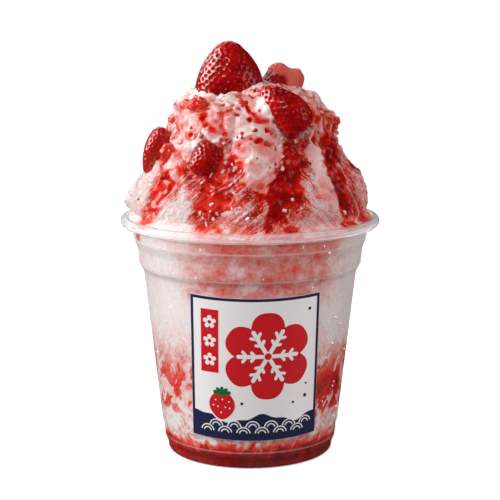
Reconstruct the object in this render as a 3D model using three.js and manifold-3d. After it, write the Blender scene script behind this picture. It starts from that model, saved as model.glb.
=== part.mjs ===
// Strawberry kakigori: shaved ice with syrup, condensed milk and strawberries, heaped in a clear plastic cup.
// Sizes are in millimetres and +Z is up. The origin is the centre of the cup's foot, on the table.
// Azimuth is in degrees round the Z axis, from 0 at the front (-Y), where the label is, towards +X.
import * as THREE from "three";
import { mergeVertices } from "three/addons/utils/BufferGeometryUtils.js";
import Module from "manifold-3d";

const wasm = await Module();
wasm.setup();

// ---- Driving sizes ----
const RIM_RADIUS = 49; // outside of the rolled rim
const CUP_HEIGHT = 91; // foot to the top of the rim
const WALL = 0.6; // thickness of the plastic
const GAP = 0.4; // kept between two solids that would touch
const CUP_FACETS = 48; // flat faces round the cup
const ICE_FACETS = 64; // flat faces round the ice
const PUSH_UP = 2; // how far the middle of the cup's floor stands off the table

// ---- Small helpers ----
const radians = THREE.MathUtils.degToRad;
const smooth = THREE.MathUtils.smoothstep;

// The point at an azimuth, a distance from the axis and a height.
function at(azimuth, radius, z) {
  return new THREE.Vector3(
    radius * Math.sin(radians(azimuth)),
    -radius * Math.cos(radians(azimuth)),
    z,
  );
}

// A fixed random number from -1 to 1 for each corner of a cubic grid.
function cornerValue(i, j, k) {
  let bits = Math.imul(i, 374761393) ^ Math.imul(j, 668265263) ^ Math.imul(k, 1442695041);
  bits = Math.imul(bits ^ (bits >>> 13), 1274126177);
  return ((bits ^ (bits >>> 16)) >>> 0) / 2 ** 31 - 1;
}

// A smooth random field over space, about -1 to 1, with lumps about one cell apart.
function noise(point, cell) {
  const p = point.clone().divideScalar(cell);
  const low = p.clone().floor();
  const [u, v, w] = p.clone().sub(low).toArray().map((t) => t * t * (3 - 2 * t));
  const row = (j, k) =>
    cornerValue(low.x, low.y + j, low.z + k) * (1 - u) + cornerValue(low.x + 1, low.y + j, low.z + k) * u;
  const sheet = (k) => row(0, k) * (1 - v) + row(1, k) * v;
  return sheet(0) * (1 - w) + sheet(1) * w;
}

// A closed mesh from a bottom point, rings of points that run round the axis, and a top point.
function ringMesh(bottom, rings, top) {
  const count = rings[0].length;
  const positions = [bottom, ...rings.flat(), top].flatMap((p) => p.toArray());
  const last = 1 + rings.length * count;
  const faces = [];
  for (let j = 0; j < count; j++) {
    const next = (j + 1) % count;
    faces.push(0, 1 + next, 1 + j);
    for (let i = 0; i + 1 < rings.length; i++) {
      const low = 1 + i * count;
      const high = low + count;
      faces.push(low + j, low + next, high + next, low + j, high + next, high + j);
    }
    faces.push(last - count + j, last - count + next, last);
  }
  const geometry = new THREE.BufferGeometry();
  geometry.setAttribute("position", new THREE.Float32BufferAttribute(positions, 3));
  geometry.setIndex(faces);
  return geometry;
}

// A geometry as a solid that can be cut and joined.
function toSolid(geometry) {
  const bare = geometry.clone();
  bare.deleteAttribute("normal");
  bare.deleteAttribute("uv");
  const merged = mergeVertices(bare, 1e-4);
  return new wasm.Manifold(
    new wasm.Mesh({
      numProp: 3,
      vertProperties: merged.attributes.position.array,
      triVerts: new Uint32Array(merged.index.array),
    }),
  );
}

// The largest piece of a solid, as a geometry.
function toGeometry(solid) {
  const [largest] = solid.decompose().sort((a, b) => b.volume() - a.volume());
  const mesh = largest.getMesh();
  const geometry = new THREE.BufferGeometry();
  geometry.setAttribute("position", new THREE.Float32BufferAttribute(mesh.vertProperties, 3));
  geometry.setIndex([...mesh.triVerts]);
  return geometry;
}

// ---- The cup: a thin wall with a raised floor, a foot, two stacking steps and a rolled rim ----
const CURL_RADIUS = 1.65; // middle of the rolled rim's wall
const CURL_CENTRE = { r: RIM_RADIUS - WALL / 2 - CURL_RADIUS, z: CUP_HEIGHT - WALL / 2 - CURL_RADIUS };
const CURL_FROM = 180;
const CURL_TO = -135;
const CURL_STEPS = 7;
const FOOT_CORNER = 4; // the point of cupLine() where the foot turns up into the wall
const CONE_LOW = [34.0, 12]; // the long straight wall, from the middle of its thickness
const CONE_HIGH = [40.4, 68.5];

// The middle of the wall as [radius, height], from the centre of the floor to the end of the rolled rim.
function cupLine() {
  const middle = WALL / 2;
  const curl = [];
  for (let i = 0; i <= CURL_STEPS; i++) {
    const angle = radians(CURL_FROM + ((CURL_TO - CURL_FROM) * i) / CURL_STEPS);
    curl.push([CURL_CENTRE.r + CURL_RADIUS * Math.cos(angle), CURL_CENTRE.z + CURL_RADIUS * Math.sin(angle)]);
  }
  return [
    [0, PUSH_UP + middle],
    [25.8, PUSH_UP + middle],
    [28, middle],
    [31, middle],
    [31.7, 1],
    [31.9, 3.4],
    [32.9, 5.2],
    [33.5, 10.8],
    CONE_LOW,
    CONE_HIGH,
    [40.8, 70.6],
    [42.2, 72.8],
    [42.9, 79],
    [44.2, 82.6],
    [44.7, 86],
    ...curl,
  ];
}

// A line of [radius, height] points moved sideways, outwards for a positive distance.
function besideLine(line, distance) {
  const normals = line.slice(1).map(([r, z], i) => {
    const [dr, dz] = [r - line[i][0], z - line[i][1]];
    const length = Math.hypot(dr, dz);
    return [dz / length, -dr / length];
  });
  return line.map(([r, z], i) => {
    const a = normals[Math.max(i - 1, 0)];
    const b = normals[Math.min(i, normals.length - 1)];
    const share = distance / (1 + a[0] * b[0] + a[1] * b[1]);
    return [r + (a[0] + b[0]) * share, z + (a[1] + b[1]) * share];
  });
}

function cupGeometry() {
  const outside = besideLine(cupLine(), WALL / 2);
  const inside = besideLine(cupLine(), -WALL / 2);
  const outline = [...outside, ...inside.reverse()].map(([r, z]) => new THREE.Vector2(Math.max(r, 0), z));
  return new THREE.LatheGeometry(outline, CUP_FACETS).rotateX(Math.PI / 2);
}

// The outline of the filling, a gap inside the wall, from the centre of the floor to the rim.
const fillingLine = besideLine(cupLine(), -WALL / 2 - GAP);

// The distance from the axis at which the filling stops, at a height above the floor.
function fillingRadius(z) {
  const above = fillingLine.findIndex((p, i) => i > FOOT_CORNER && p[1] >= z);
  const [low, high] = [fillingLine[above - 1], fillingLine[above]];
  return low[0] + ((high[0] - low[0]) * (z - low[1])) / (high[1] - low[1]);
}

// ---- What fills the cup, from the bottom: syrup, pale ice, soaked ice, and the foot of the mound ----
const POOL_TOP = { z: 6.4, wave: 0.8, cell: 9 };
const PALE_TOP = { z: 20, wave: 2.6, cell: 15 };
const SOAKED_TOP = { z: 36.5, wave: 3, cell: 17 };
const LAYER_RINGS = [0.36, 0.7, 1]; // share of the radius

// Height of a wavy boundary between two layers.
function boundaryHeight(boundary, azimuth, radius) {
  const { z, wave, cell } = boundary;
  return z + wave * noise(at(azimuth, radius, z), cell);
}

function ring(facets, radiusAt, heightAt) {
  return Array.from({ length: facets }, (_, j) => {
    const azimuth = (360 * j) / facets;
    return at(azimuth, radiusAt(azimuth), heightAt(azimuth));
  });
}

// Rings across a boundary, from the axis outwards, `lift` above it.
function boundaryRings(facets, boundary, lift) {
  return LAYER_RINGS.map((share) =>
    ring(
      facets,
      (azimuth) => share * fillingRadius(boundaryHeight(boundary, azimuth, fillingRadius(boundary.z)) + lift),
      (azimuth) => boundaryHeight(boundary, azimuth, share * fillingRadius(boundary.z)) + lift,
    ),
  );
}

function boundaryCentre(boundary, lift) {
  return new THREE.Vector3(0, 0, boundaryHeight(boundary, 0, 0) + lift);
}

function poolGeometry() {
  const [floor, ...foot] = fillingLine.slice(0, FOOT_CORNER + 2);
  const rings = [
    ...foot.map(([radius, z]) => ring(CUP_FACETS, () => radius, () => z)),
    ...boundaryRings(CUP_FACETS, POOL_TOP, -GAP / 2).reverse(),
  ];
  return ringMesh(new THREE.Vector3(0, 0, floor[1]), rings, boundaryCentre(POOL_TOP, -GAP / 2));
}

function layerGeometry(below, above) {
  const rings = [
    ...boundaryRings(CUP_FACETS, below, GAP / 2),
    ...boundaryRings(CUP_FACETS, above, -GAP / 2).reverse(),
  ];
  return ringMesh(boundaryCentre(below, GAP / 2), rings, boundaryCentre(above, -GAP / 2));
}

// ---- The mound ----
const MOUND_OUTLINE = [
  // [radius, height] of the smooth heap above the rim, before its lumps
  [43.9, 91.5],
  [44, 95],
  [43, 99],
  [40.6, 104],
  [38.3, 108],
  [36, 112],
  [33.6, 116],
  [31.6, 120],
  [30, 124],
  [28.2, 128],
  [25.9, 132],
  [23, 134.7],
  [18.5, 136.4],
  [11, 137.4],
  [0, 137.6],
];
const MOUND_ROWS = 24;
const WALL_HEIGHTS = [46, 67.5, 70.4, 72.9, 79, 82.8, 86, 89]; // rings where the ice lies against the cup
const LUMP_NOISE = [
  { cell: 15, height: 1.5 },
  { cell: 7.5, height: 1.3 },
];
// Bulges and hollows of the heap: where, how wide and how high.
const LUMPS = [
  { azimuth: -88, z: 95, width: 5.5, height: 2.2 },
  { azimuth: -70, z: 107, width: 6, height: -1 },
  { azimuth: -84, z: 133, width: 3.5, height: 1.4 },
  { azimuth: -84, z: 128.5, width: 3.5, height: -4.4 },
  { azimuth: -40, z: 136.5, width: 9, height: -2.6 },
  { azimuth: -28, z: 125, width: 6, height: 1.2 },
  { azimuth: 6, z: 126, width: 7, height: 1.8 },
  { azimuth: 20, z: 137, width: 6, height: 1.6 },
  { azimuth: 4, z: 113, width: 6, height: 1.2 },
  { azimuth: -38, z: 107, width: 7, height: 1.3 },
  { azimuth: 24, z: 114, width: 5, height: 1.4 },
  { azimuth: 84, z: 130.5, width: 5, height: -4.6 },
  { azimuth: 88, z: 125, width: 6, height: 3 },
  { azimuth: 72, z: 118, width: 5, height: 1 },
  { azimuth: 90, z: 109, width: 6, height: 0.8 },
  { azimuth: 62, z: 106, width: 6, height: 0.8 },
  { azimuth: 140, z: 126, width: 8, height: 2 },
  { azimuth: 172, z: 110, width: 9, height: 1.8 },
  { azimuth: 205, z: 125, width: 8, height: 1.6 },
  { azimuth: 228, z: 103, width: 9, height: 1.6 },
];
// Condensed milk: it covers the crown down to about CROWN_Z and runs down in tongues.
// The line of each run is a list of [azimuth, z].
const CROWN_Z = 129;
const CROWN_FADE = 5;
const MILK_HEIGHT = 1.5;
const MILK_RUNS = [
  { halfWidth: 8, line: [[3, 136], [3, 125], [1, 118]] },
  { halfWidth: 7, line: [[-48, 134], [-54, 122], [-48, 113]] },
  { halfWidth: 6, line: [[-22, 134], [-20, 124]] },
  { halfWidth: 4, line: [[46, 136], [50, 124], [46, 112], [42, 100]] },
  { halfWidth: 6, line: [[75, 134], [72, 124]] },
  { halfWidth: 6, line: [[112, 134], [116, 120], [112, 108]] },
  { halfWidth: 7, line: [[150, 134], [146, 122]] },
  { halfWidth: 6, line: [[186, 134], [190, 118], [186, 103]] },
  { halfWidth: 7, line: [[226, 134], [222, 121], [226, 112]] },
  { halfWidth: 6, line: [[264, 134], [262, 120]] },
];
// Syrup: it melts shallow channels into the ice.
const SYRUP_DEPTH = 1;
const SYRUP_RUNS = [
  { halfWidth: 6.5, line: [[-22, 113], [-15, 109], [-17, 102], [-19, 92]] },
  { halfWidth: 3, line: [[-4, 117], [-10, 109]] },
  { halfWidth: 8, line: [[30, 117], [21, 109], [17, 103]] },
  { halfWidth: 5.5, line: [[17, 103], [14, 96], [16, 88]] },
  { halfWidth: 3.5, line: [[14, 105], [3, 104]] },
  { halfWidth: 5.5, line: [[64, 117], [50, 107], [54, 94]] },
  { halfWidth: 4.5, line: [[-47, 109], [-50, 101], [-60, 90]] },
  { halfWidth: 4.5, line: [[82, 131], [78, 124], [70, 114]] },
  { halfWidth: 5, line: [[98, 114], [94, 102], [98, 92]] },
  { halfWidth: 6, line: [[132, 119], [136, 106], [130, 93]] },
  { halfWidth: 5, line: [[168, 116], [160, 106], [164, 96]] },
  { halfWidth: 6, line: [[208, 118], [206, 104], [212, 92]] },
  { halfWidth: 5, line: [[244, 116], [246, 104], [240, 96]] },
];

const moundLine = new THREE.SplineCurve(MOUND_OUTLINE.map(([r, z]) => new THREE.Vector2(r, z)));
moundLine.arcLengthDivisions = 400;

// The point of the smooth heap at an azimuth and a height.
function onMound(azimuth, z) {
  const above = Math.max(1, MOUND_OUTLINE.findIndex((p) => p[1] >= z));
  const [low, high] = [MOUND_OUTLINE[above - 1], MOUND_OUTLINE[above]];
  return at(azimuth, low[0] + ((high[0] - low[0]) * (z - low[1])) / (high[1] - low[1]), z);
}

// A run as straight pieces over the smooth heap.
function runPieces({ line, halfWidth }) {
  const points = line.map(([azimuth, z]) => onMound(azimuth, z));
  return points.slice(1).map((p, i) => ({ piece: new THREE.Line3(points[i], p), halfWidth }));
}
const milkPieces = MILK_RUNS.flatMap(runPieces);
const syrupPieces = SYRUP_RUNS.flatMap(runPieces);
const lumpPoints = LUMPS.map((lump) => ({ ...lump, centre: onMound(lump.azimuth, lump.z) }));

// How far a point is inside the runs: 1 along their middle, 0 at their edge and outside.
function cover(point, pieces) {
  const nearest = new THREE.Vector3();
  return Math.max(
    0,
    ...pieces.map(({ piece, halfWidth }) => {
      piece.closestPointToPoint(point, true, nearest);
      return 1 - (nearest.distanceTo(point) / halfWidth) ** 2;
    }),
  );
}

// How far the ice, milk and syrup stand out from the smooth heap at one of its points.
function relief(point) {
  const edge = 1.2 * noise(point, 5);
  const crown = smooth(point.z + edge, CROWN_Z - CROWN_FADE, CROWN_Z);
  const milk = Math.max(crown, Math.sqrt(cover(point, milkPieces)));
  const syrup = (1 - milk) * Math.sqrt(cover(point, syrupPieces));
  const lumps = lumpPoints.reduce(
    (sum, { centre, width, height }) => sum + height * Math.exp(-((centre.distanceTo(point) / width) ** 2)),
    0,
  );
  const rough = LUMP_NOISE.reduce((sum, { cell, height }) => sum + height * noise(point, cell), 0);
  return lumps + rough + MILK_HEIGHT * milk - SYRUP_DEPTH * syrup;
}

// The ring of the mound's surface at a share of the way from the rim to the top.
function moundRing(share) {
  const here = moundLine.getPointAt(share);
  const along = moundLine.getTangentAt(share);
  return Array.from({ length: ICE_FACETS }, (_, j) => {
    const azimuth = (360 * j) / ICE_FACETS;
    const point = at(azimuth, here.x, here.y);
    const outwards = at(azimuth, along.y, -along.x);
    return point.addScaledVector(outwards, relief(point) * smooth(here.y, 91.5, 95));
  });
}

function moundSolid() {
  const walls = WALL_HEIGHTS.map((z) => ring(ICE_FACETS, () => fillingRadius(z), () => z));
  const slopes = Array.from({ length: MOUND_ROWS }, (_, i) => moundRing(i / MOUND_ROWS));
  const rings = [...boundaryRings(ICE_FACETS, SOAKED_TOP, GAP / 2), ...walls, ...slopes];
  const top = new THREE.Vector3(0, 0, MOUND_OUTLINE.at(-1)[1]);
  top.z += relief(top);
  return toSolid(ringMesh(boundaryCentre(SOAKED_TOP, GAP / 2), rings, top));
}

// ---- Strawberries ----
// A strawberry's outline, from the stem's hollow to the tip: [share of the length, share of the radius].
const BERRY_OUTLINE = [
  [0.03, 0.22],
  [0, 0.46],
  [0.04, 0.72],
  [0.14, 0.92],
  [0.3, 1],
  [0.48, 0.95],
  [0.64, 0.82],
  [0.78, 0.64],
  [0.89, 0.44],
  [0.96, 0.26],
];
const STEM_HOLLOW = 0.1;
const BERRY_FACETS = 18;
// Each runs from its stem end to its tip. The flat face of one halved along its length looks along `cut`.
const BERRIES = {
  strawberry_top: { stem: [-7.1, 0.6, 128], tip: [-8.2, -1, 156.3], radius: 13.2 },
  strawberry_front_right: { stem: [19.5, -25.4, 125], tip: [4.2, -21.4, 140.6], radius: 7.6 },
  strawberry_back: { stem: [16.9, 11, 145.6], tip: [10.7, 13, 126], radius: 10.7, cut: [0.8, -0.55, 0.2] },
  strawberry_front_left: { stem: [-10.8, -23, 118], tip: [-20.2, -34.8, 111.8], radius: 6.9 },
  strawberry_left: { stem: [-29.6, -8, 123.5], tip: [-38.6, -10.5, 107.5], radius: 6, cut: [0.8, -0.6, 0.2] },
};

// A strawberry as a solid, with all its faces moved out by `grow`.
function berrySolid({ stem, tip, radius, cut }, grow) {
  const from = new THREE.Vector3(...stem);
  const length = from.distanceTo(new THREE.Vector3(...tip)) + 2 * grow;
  const direction = new THREE.Vector3(...tip).sub(from).normalize();
  const rings = BERRY_OUTLINE.map(([along, out]) =>
    ring(BERRY_FACETS, () => (radius + grow) * out, () => length * along - grow),
  );
  const hollow = new THREE.Vector3(0, 0, length * STEM_HOLLOW - grow);
  const geometry = ringMesh(hollow, rings, new THREE.Vector3(0, 0, length - grow));
  geometry.applyQuaternion(new THREE.Quaternion().setFromUnitVectors(new THREE.Vector3(0, 0, 1), direction));
  geometry.translate(...from.toArray());
  const whole = toSolid(geometry);
  if (!cut) return whole;
  const facing = new THREE.Vector3(...cut).projectOnPlane(direction).normalize();
  const block = new THREE.BoxGeometry(90, 90, 90).translate(0, 0, 45 + grow);
  block.applyQuaternion(new THREE.Quaternion().setFromUnitVectors(new THREE.Vector3(0, 0, 1), facing));
  block.translate(...from.toArray());
  return whole.subtract(toSolid(block));
}

// Rough chunks of crushed strawberry.
const CHUNKS = {
  strawberry_chunk_upper: { centre: [-18.7, -17, 133.3], radii: [4.2, 3.6, 3.1], turn: 40 },
  strawberry_chunk_left: { centre: [-29.8, -19.6, 115.6], radii: [3.4, 3.2, 4.2], turn: -50 },
};
const CHUNK_ROUGHNESS = 0.16;

function chunkSolid({ centre, radii, turn }, grow) {
  const geometry = new THREE.IcosahedronGeometry(1, 1);
  const positions = geometry.attributes.position;
  const point = new THREE.Vector3();
  for (let i = 0; i < positions.count; i++) {
    point.fromBufferAttribute(positions, i);
    point.multiplyScalar(1 + CHUNK_ROUGHNESS * noise(point.clone().add(new THREE.Vector3(...centre)), 0.7));
    positions.setXYZ(i, point.x, point.y, point.z);
  }
  geometry.scale(...radii.map((r) => r + grow)).rotateZ(radians(turn)).translate(...centre);
  return toSolid(geometry);
}

// ---- The label: a flat rectangle wrapped on the cone of the wall ----
const LABEL_WIDTH = 49.2; // halfway up
const LABEL_TAPER = 0.018; // how much narrower the bottom is than the top, as a share of the width
const LABEL_HEIGHT = 54.8;
const LABEL_MIDDLE = { azimuth: 3.2, z: 39.3 };
const LABEL_THICKNESS = 0.3;
const LABEL_COLUMNS = 16;
const LABEL_ROWS = 2;

// The place of a point of the flat label, `off` outside the wall: u runs right and v up from its middle.
function onCone(u, v, off) {
  const slope = Math.atan2(CONE_HIGH[0] - CONE_LOW[0], CONE_HIGH[1] - CONE_LOW[1]);
  const wallRadius = (z) => CONE_LOW[0] + Math.tan(slope) * (z - CONE_LOW[1]) + WALL / 2 / Math.cos(slope);
  const middle = wallRadius(LABEL_MIDDLE.z) / Math.sin(slope); // distance from the cone's apex
  const fromApex = Math.hypot(u, middle + v);
  const turn = THREE.MathUtils.radToDeg(Math.atan2(u, middle + v) / Math.sin(slope));
  const z = LABEL_MIDDLE.z + (fromApex - middle) * Math.cos(slope);
  return at(LABEL_MIDDLE.azimuth + turn, wallRadius(z) + off, z);
}

function labelGeometry() {
  const box = new THREE.BoxGeometry(1, 1, 1, LABEL_COLUMNS, LABEL_ROWS, 1);
  const positions = box.attributes.position;
  for (let i = 0; i < positions.count; i++) {
    const v = LABEL_HEIGHT * positions.getY(i);
    const u = LABEL_WIDTH * positions.getX(i) * (1 + LABEL_TAPER * positions.getY(i));
    const off = GAP + (positions.getZ(i) > 0 ? LABEL_THICKNESS : 0);
    positions.setXYZ(i, ...onCone(u, v, off).toArray());
  }
  return box;
}

// ---- Colours and assembly ----
function finish(color, roughness, more) {
  return new THREE.MeshStandardMaterial({ color, roughness, metalness: 0, ...more });
}

const CLEAR_PLASTIC = finish("#e8ecee", 0.1, { transparent: true, opacity: 0.3 });
const SYRUP = finish("#a01418", 0.2);
const PALE_ICE = finish("#e9c3c0", 0.6);
const SOAKED_ICE = finish("#cf3a32", 0.4);
const MOUND_ICE = finish("#f0d4d0", 0.55);
const STRAWBERRY = finish("#b3121a", 0.25);
const PRINTED_FILM = finish("#efefef", 0.4);

const kakigori = new THREE.Group();
kakigori.name = "kakigori";

function addPiece(name, geometry, material) {
  const mesh = new THREE.Mesh(geometry, material);
  mesh.name = name;
  kakigori.add(mesh);
}

let mound = moundSolid();
for (const [name, berry] of Object.entries(BERRIES)) {
  mound = mound.subtract(berrySolid(berry, GAP));
  addPiece(name, toGeometry(berrySolid(berry, 0)), STRAWBERRY);
}
for (const [name, chunk] of Object.entries(CHUNKS)) {
  mound = mound.subtract(chunkSolid(chunk, GAP));
  addPiece(name, toGeometry(chunkSolid(chunk, 0)), STRAWBERRY);
}
addPiece("cup", cupGeometry(), CLEAR_PLASTIC);
addPiece("syrup_pool", poolGeometry(), SYRUP);
addPiece("ice_pale_layer", layerGeometry(POOL_TOP, PALE_TOP), PALE_ICE);
addPiece("ice_soaked_layer", layerGeometry(PALE_TOP, SOAKED_TOP), SOAKED_ICE);
addPiece("ice_mound", toGeometry(mound), MOUND_ICE);
addPiece("label", labelGeometry(), PRINTED_FILM);

export default kakigori;
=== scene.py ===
"""The looks of a strawberry kakigori: shaved ice, syrup, condensed milk and strawberries in a clear cup.

Lengths are in millimetres until a mesh is made. Azimuth is in degrees round the Z axis, from 0 at the
front (-Y) towards +X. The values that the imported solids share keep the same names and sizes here.
"""

from __future__ import annotations

import logging
import math
from collections.abc import Iterable, Sequence
from dataclasses import dataclass, field
from enum import Enum

import bmesh
import bpy
import numpy as np
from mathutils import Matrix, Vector

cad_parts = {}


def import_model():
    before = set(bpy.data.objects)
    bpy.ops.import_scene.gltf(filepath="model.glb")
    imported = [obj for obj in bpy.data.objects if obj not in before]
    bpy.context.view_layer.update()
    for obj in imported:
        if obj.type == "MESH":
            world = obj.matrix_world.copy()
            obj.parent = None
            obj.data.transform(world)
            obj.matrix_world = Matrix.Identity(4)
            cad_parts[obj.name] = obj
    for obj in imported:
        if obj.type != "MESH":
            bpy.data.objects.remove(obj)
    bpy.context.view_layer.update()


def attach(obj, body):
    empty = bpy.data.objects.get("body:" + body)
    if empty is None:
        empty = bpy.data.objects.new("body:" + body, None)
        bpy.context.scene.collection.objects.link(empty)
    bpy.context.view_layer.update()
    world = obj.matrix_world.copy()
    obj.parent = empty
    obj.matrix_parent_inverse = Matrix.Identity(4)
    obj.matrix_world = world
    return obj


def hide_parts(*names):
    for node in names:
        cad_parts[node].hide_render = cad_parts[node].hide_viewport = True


Array = np.ndarray
Pair = tuple[float, float]
Colour = tuple[float, float, float]
Point = tuple[float, float, float]

MM = 0.001
RIM_RADIUS = 49.0
CUP_HEIGHT = 91.0
WALL = 0.6
PUSH_UP = 2.0
BITE = 0.12  # how far what fills the cup reaches into its wall
CAP_SHARES = (0.36, 0.7)  # where rings lie across a layer's top or bottom, from the axis to the wall
LAYER_CREASE = 40.0  # degrees, past which a layer's edges are shaded sharp
GRAIN_RADIUS = 38.0  # the radius at which the slanting grain of the ice is measured

log = logging.getLogger("kakigori")


# ---- Numbers: places, smooth steps and random fields ----


def at(azimuth: Array | float, radius: Array | float, z: Array | float) -> Array:
    """Places by azimuth in degrees, distance from the axis and height."""
    turn, radius, z = np.broadcast_arrays(np.radians(azimuth), radius, z)
    return np.stack([radius * np.sin(turn), -radius * np.cos(turn), z], axis=-1)


def azimuth_of(points: Array) -> Array:
    """The azimuth of each point, in degrees from -180 to 180."""
    return np.degrees(np.arctan2(points[..., 0], -points[..., 1]))


def step(low: float, high: float, value: Array) -> Array:
    """A smooth step from 0 at low to 1 at high; it falls where high is the smaller."""
    share = np.clip((value - low) / (high - low), 0, 1)
    return share * share * (3 - 2 * share)


def corner_value(i: Array, j: Array, k: Array) -> Array:
    """A fixed random number from -1 to 1 for each corner of a cubic grid."""
    mask = 0xFFFFFFFF
    i, j, k = (c.astype(np.int64) & mask for c in (i, j, k))
    bits = (i * 374761393 ^ j * 668265263 ^ k * 1442695041) & mask
    bits = (bits ^ (bits >> 13)) * 1274126177 & mask
    return (bits ^ (bits >> 16)) / 2**31 - 1


def noise(points: Array, cell: float) -> Array:
    """A smooth random field over space, about -1 to 1.

    Args:
        points: places, one a row.
        cell: how far apart its lumps are.

    Returns:
        One number for each place.
    """
    scaled = points / cell
    low = np.floor(scaled)
    share = scaled - low
    u, v, w = (share * share * (3 - 2 * share)).T
    x, y, z = low.T
    total = np.zeros(len(points))
    for dx, dy, dz in np.ndindex(2, 2, 2):
        weight = (u if dx else 1 - u) * (v if dy else 1 - v) * (w if dz else 1 - w)
        total += weight * corner_value(x + dx, y + dy, z + dz)
    return total


def warp(points: Array, cell: float, reach: float) -> Array:
    """The points moved by up to reach, each way by its own random field."""
    shifts = [noise(points + offset, cell) for offset in (31.7, 67.3, 103.9)]
    return points + reach * np.stack(shifts, axis=-1)


def nearest_seed(points: Array, cell: float) -> tuple[Array, Array]:
    """How far each point is from the nearest of some seeds strewn about one cell apart.

    Args:
        points: places, one a row.
        cell: how far apart the seeds are.

    Returns:
        The distance in cells, and that seed's own random number from -1 to 1.
    """
    scaled = points / cell
    low = np.floor(scaled)
    best = np.full(len(points), 9.0)
    number = np.zeros(len(points))
    for shift in np.ndindex(3, 3, 3):
        corner = low + np.array(shift) - 1
        x, y, z = corner.T
        jitter = [corner_value(x + 57 * a, y - 31 * a, z + 13 * a) for a in (1, 2, 3)]
        distance = np.linalg.norm(corner + 0.5 + 0.45 * np.stack(jitter, axis=-1) - scaled, axis=-1)
        nearer = distance < best
        best = np.where(nearer, distance, best)
        number = np.where(nearer, corner_value(x + 11, y + 5, z - 7), number)
    return best, number


def smooth_line(points: Sequence[Pair], count: int) -> Array:
    """A smooth line through some points, at even steps along its length.

    Args:
        points: the line's own points.
        count: how many points to give back.

    Returns:
        The finer line, one point a row.
    """
    given = np.array(points, float)
    t = np.linspace(0, len(given) - 1, 4000)
    i = np.minimum(t.astype(int), len(given) - 2)
    w = (t - i)[:, None]
    p0, p1 = given[np.maximum(i - 1, 0)], given[i]
    p2, p3 = given[i + 1], given[np.minimum(i + 2, len(given) - 1)]
    v0, v1 = (p2 - p0) / 2, (p3 - p1) / 2
    dense = (2 * p1 - 2 * p2 + v0 + v1) * w**3 + (-3 * p1 + 3 * p2 - 2 * v0 - v1) * w**2 + v0 * w + p1
    along = np.concatenate([[0], np.cumsum(np.linalg.norm(np.diff(dense, axis=0), axis=1))])
    wanted = np.linspace(0, along[-1], count)
    return np.stack([np.interp(wanted, along, dense[:, c]) for c in (0, 1)], axis=-1)


def rounded(line: Sequence[Pair], reach: float, steps: int = 4) -> list[Pair]:
    """A line of points with each inner corner rounded off over a distance of up to reach.

    Args:
        line: the points.
        reach: how far from a corner its curve may start.
        steps: how many parts a curve has.

    Returns:
        The longer line.
    """
    points = [np.array(p, float) for p in line]
    out = [points[0]]
    for before, corner, after in zip(points, points[1:], points[2:]):
        back, ahead = before - corner, after - corner
        share_back = min(reach / np.linalg.norm(back), 0.45)
        share_ahead = min(reach / np.linalg.norm(ahead), 0.45)
        start, end = corner + back * share_back, corner + ahead * share_ahead
        for t in np.linspace(0, 1, steps + 1):
            out.append((1 - t) ** 2 * start + 2 * t * (1 - t) * corner + t**2 * end)
    return [tuple(p) for p in [*out, points[-1]]]


def beside(line: Sequence[Pair], distance: float) -> Array:
    """A line of (radius, height) points moved sideways, outwards for a positive distance.

    Args:
        line: the points, in order.
        distance: how far to move it.

    Returns:
        The moved points, one a row.
    """
    points = np.array(line, float)
    run = np.diff(points, axis=0)
    normal = np.stack([run[:, 1], -run[:, 0]], axis=-1) / np.linalg.norm(run, axis=1, keepdims=True)
    before = np.vstack([normal[:1], normal])
    after = np.vstack([normal, normal[-1:]])
    share = distance / (1 + (before * after).sum(axis=1, keepdims=True))
    return points + (before + after) * share


# ---- Meshes ----


@dataclass
class Surface:
    """A mesh in the making: points in millimetres, faces, and numbers at its points for the finishes."""

    points: Array
    faces: list[list[int]]
    values: dict[str, Array] = field(default_factory=dict)

    def build(
        self, name: str, finishes: Sequence[bpy.types.Material], crease: float = 180.0
    ) -> bpy.types.Object:
        """Makes the Blender object.

        Args:
            name: the piece's name.
            finishes: its materials; all faces take the first.
            crease: edges bent by more than this many degrees are shaded sharp; at 0 all are.

        Returns:
            The new object, linked to the scene.
        """
        mesh = bpy.data.meshes.new(name)
        mesh.from_pydata((self.points * MM).tolist(), [], self.faces)
        for key, numbers in self.values.items():
            layer = mesh.attributes.new(key, "FLOAT", "POINT")
            layer.data.foreach_set("value", np.asarray(numbers, np.float32))
        if crease > 0:
            mesh.shade_smooth()
        if 0 < crease < 180:
            mesh.set_sharp_from_angle(angle=math.radians(crease))
        for finish in finishes:
            mesh.materials.append(finish)
        piece = bpy.data.objects.new(name, mesh)
        bpy.context.scene.collection.objects.link(piece)
        return piece


def joined(parts: Sequence[Surface]) -> Surface:
    """Several surfaces as one."""
    starts = np.cumsum([0] + [len(p.points) for p in parts])
    faces = [[v + int(start) for v in face] for start, p in zip(starts, parts) for face in p.faces]
    values = {key: np.concatenate([p.values[key] for p in parts]) for key in parts[0].values}
    return Surface(np.concatenate([p.points for p in parts]), faces, values)


def ring_faces(rows: int, columns: int, first: int = 0) -> list[list[int]]:
    """The quads between rings of points that run round an axis."""
    low = first + np.arange(rows - 1)[:, None] * columns + np.arange(columns)[None, :]
    after = first + np.arange(rows - 1)[:, None] * columns + (np.arange(columns)[None, :] + 1) % columns
    return np.stack([low, after, after + columns, low + columns], axis=-1).reshape(-1, 4).tolist()


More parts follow.
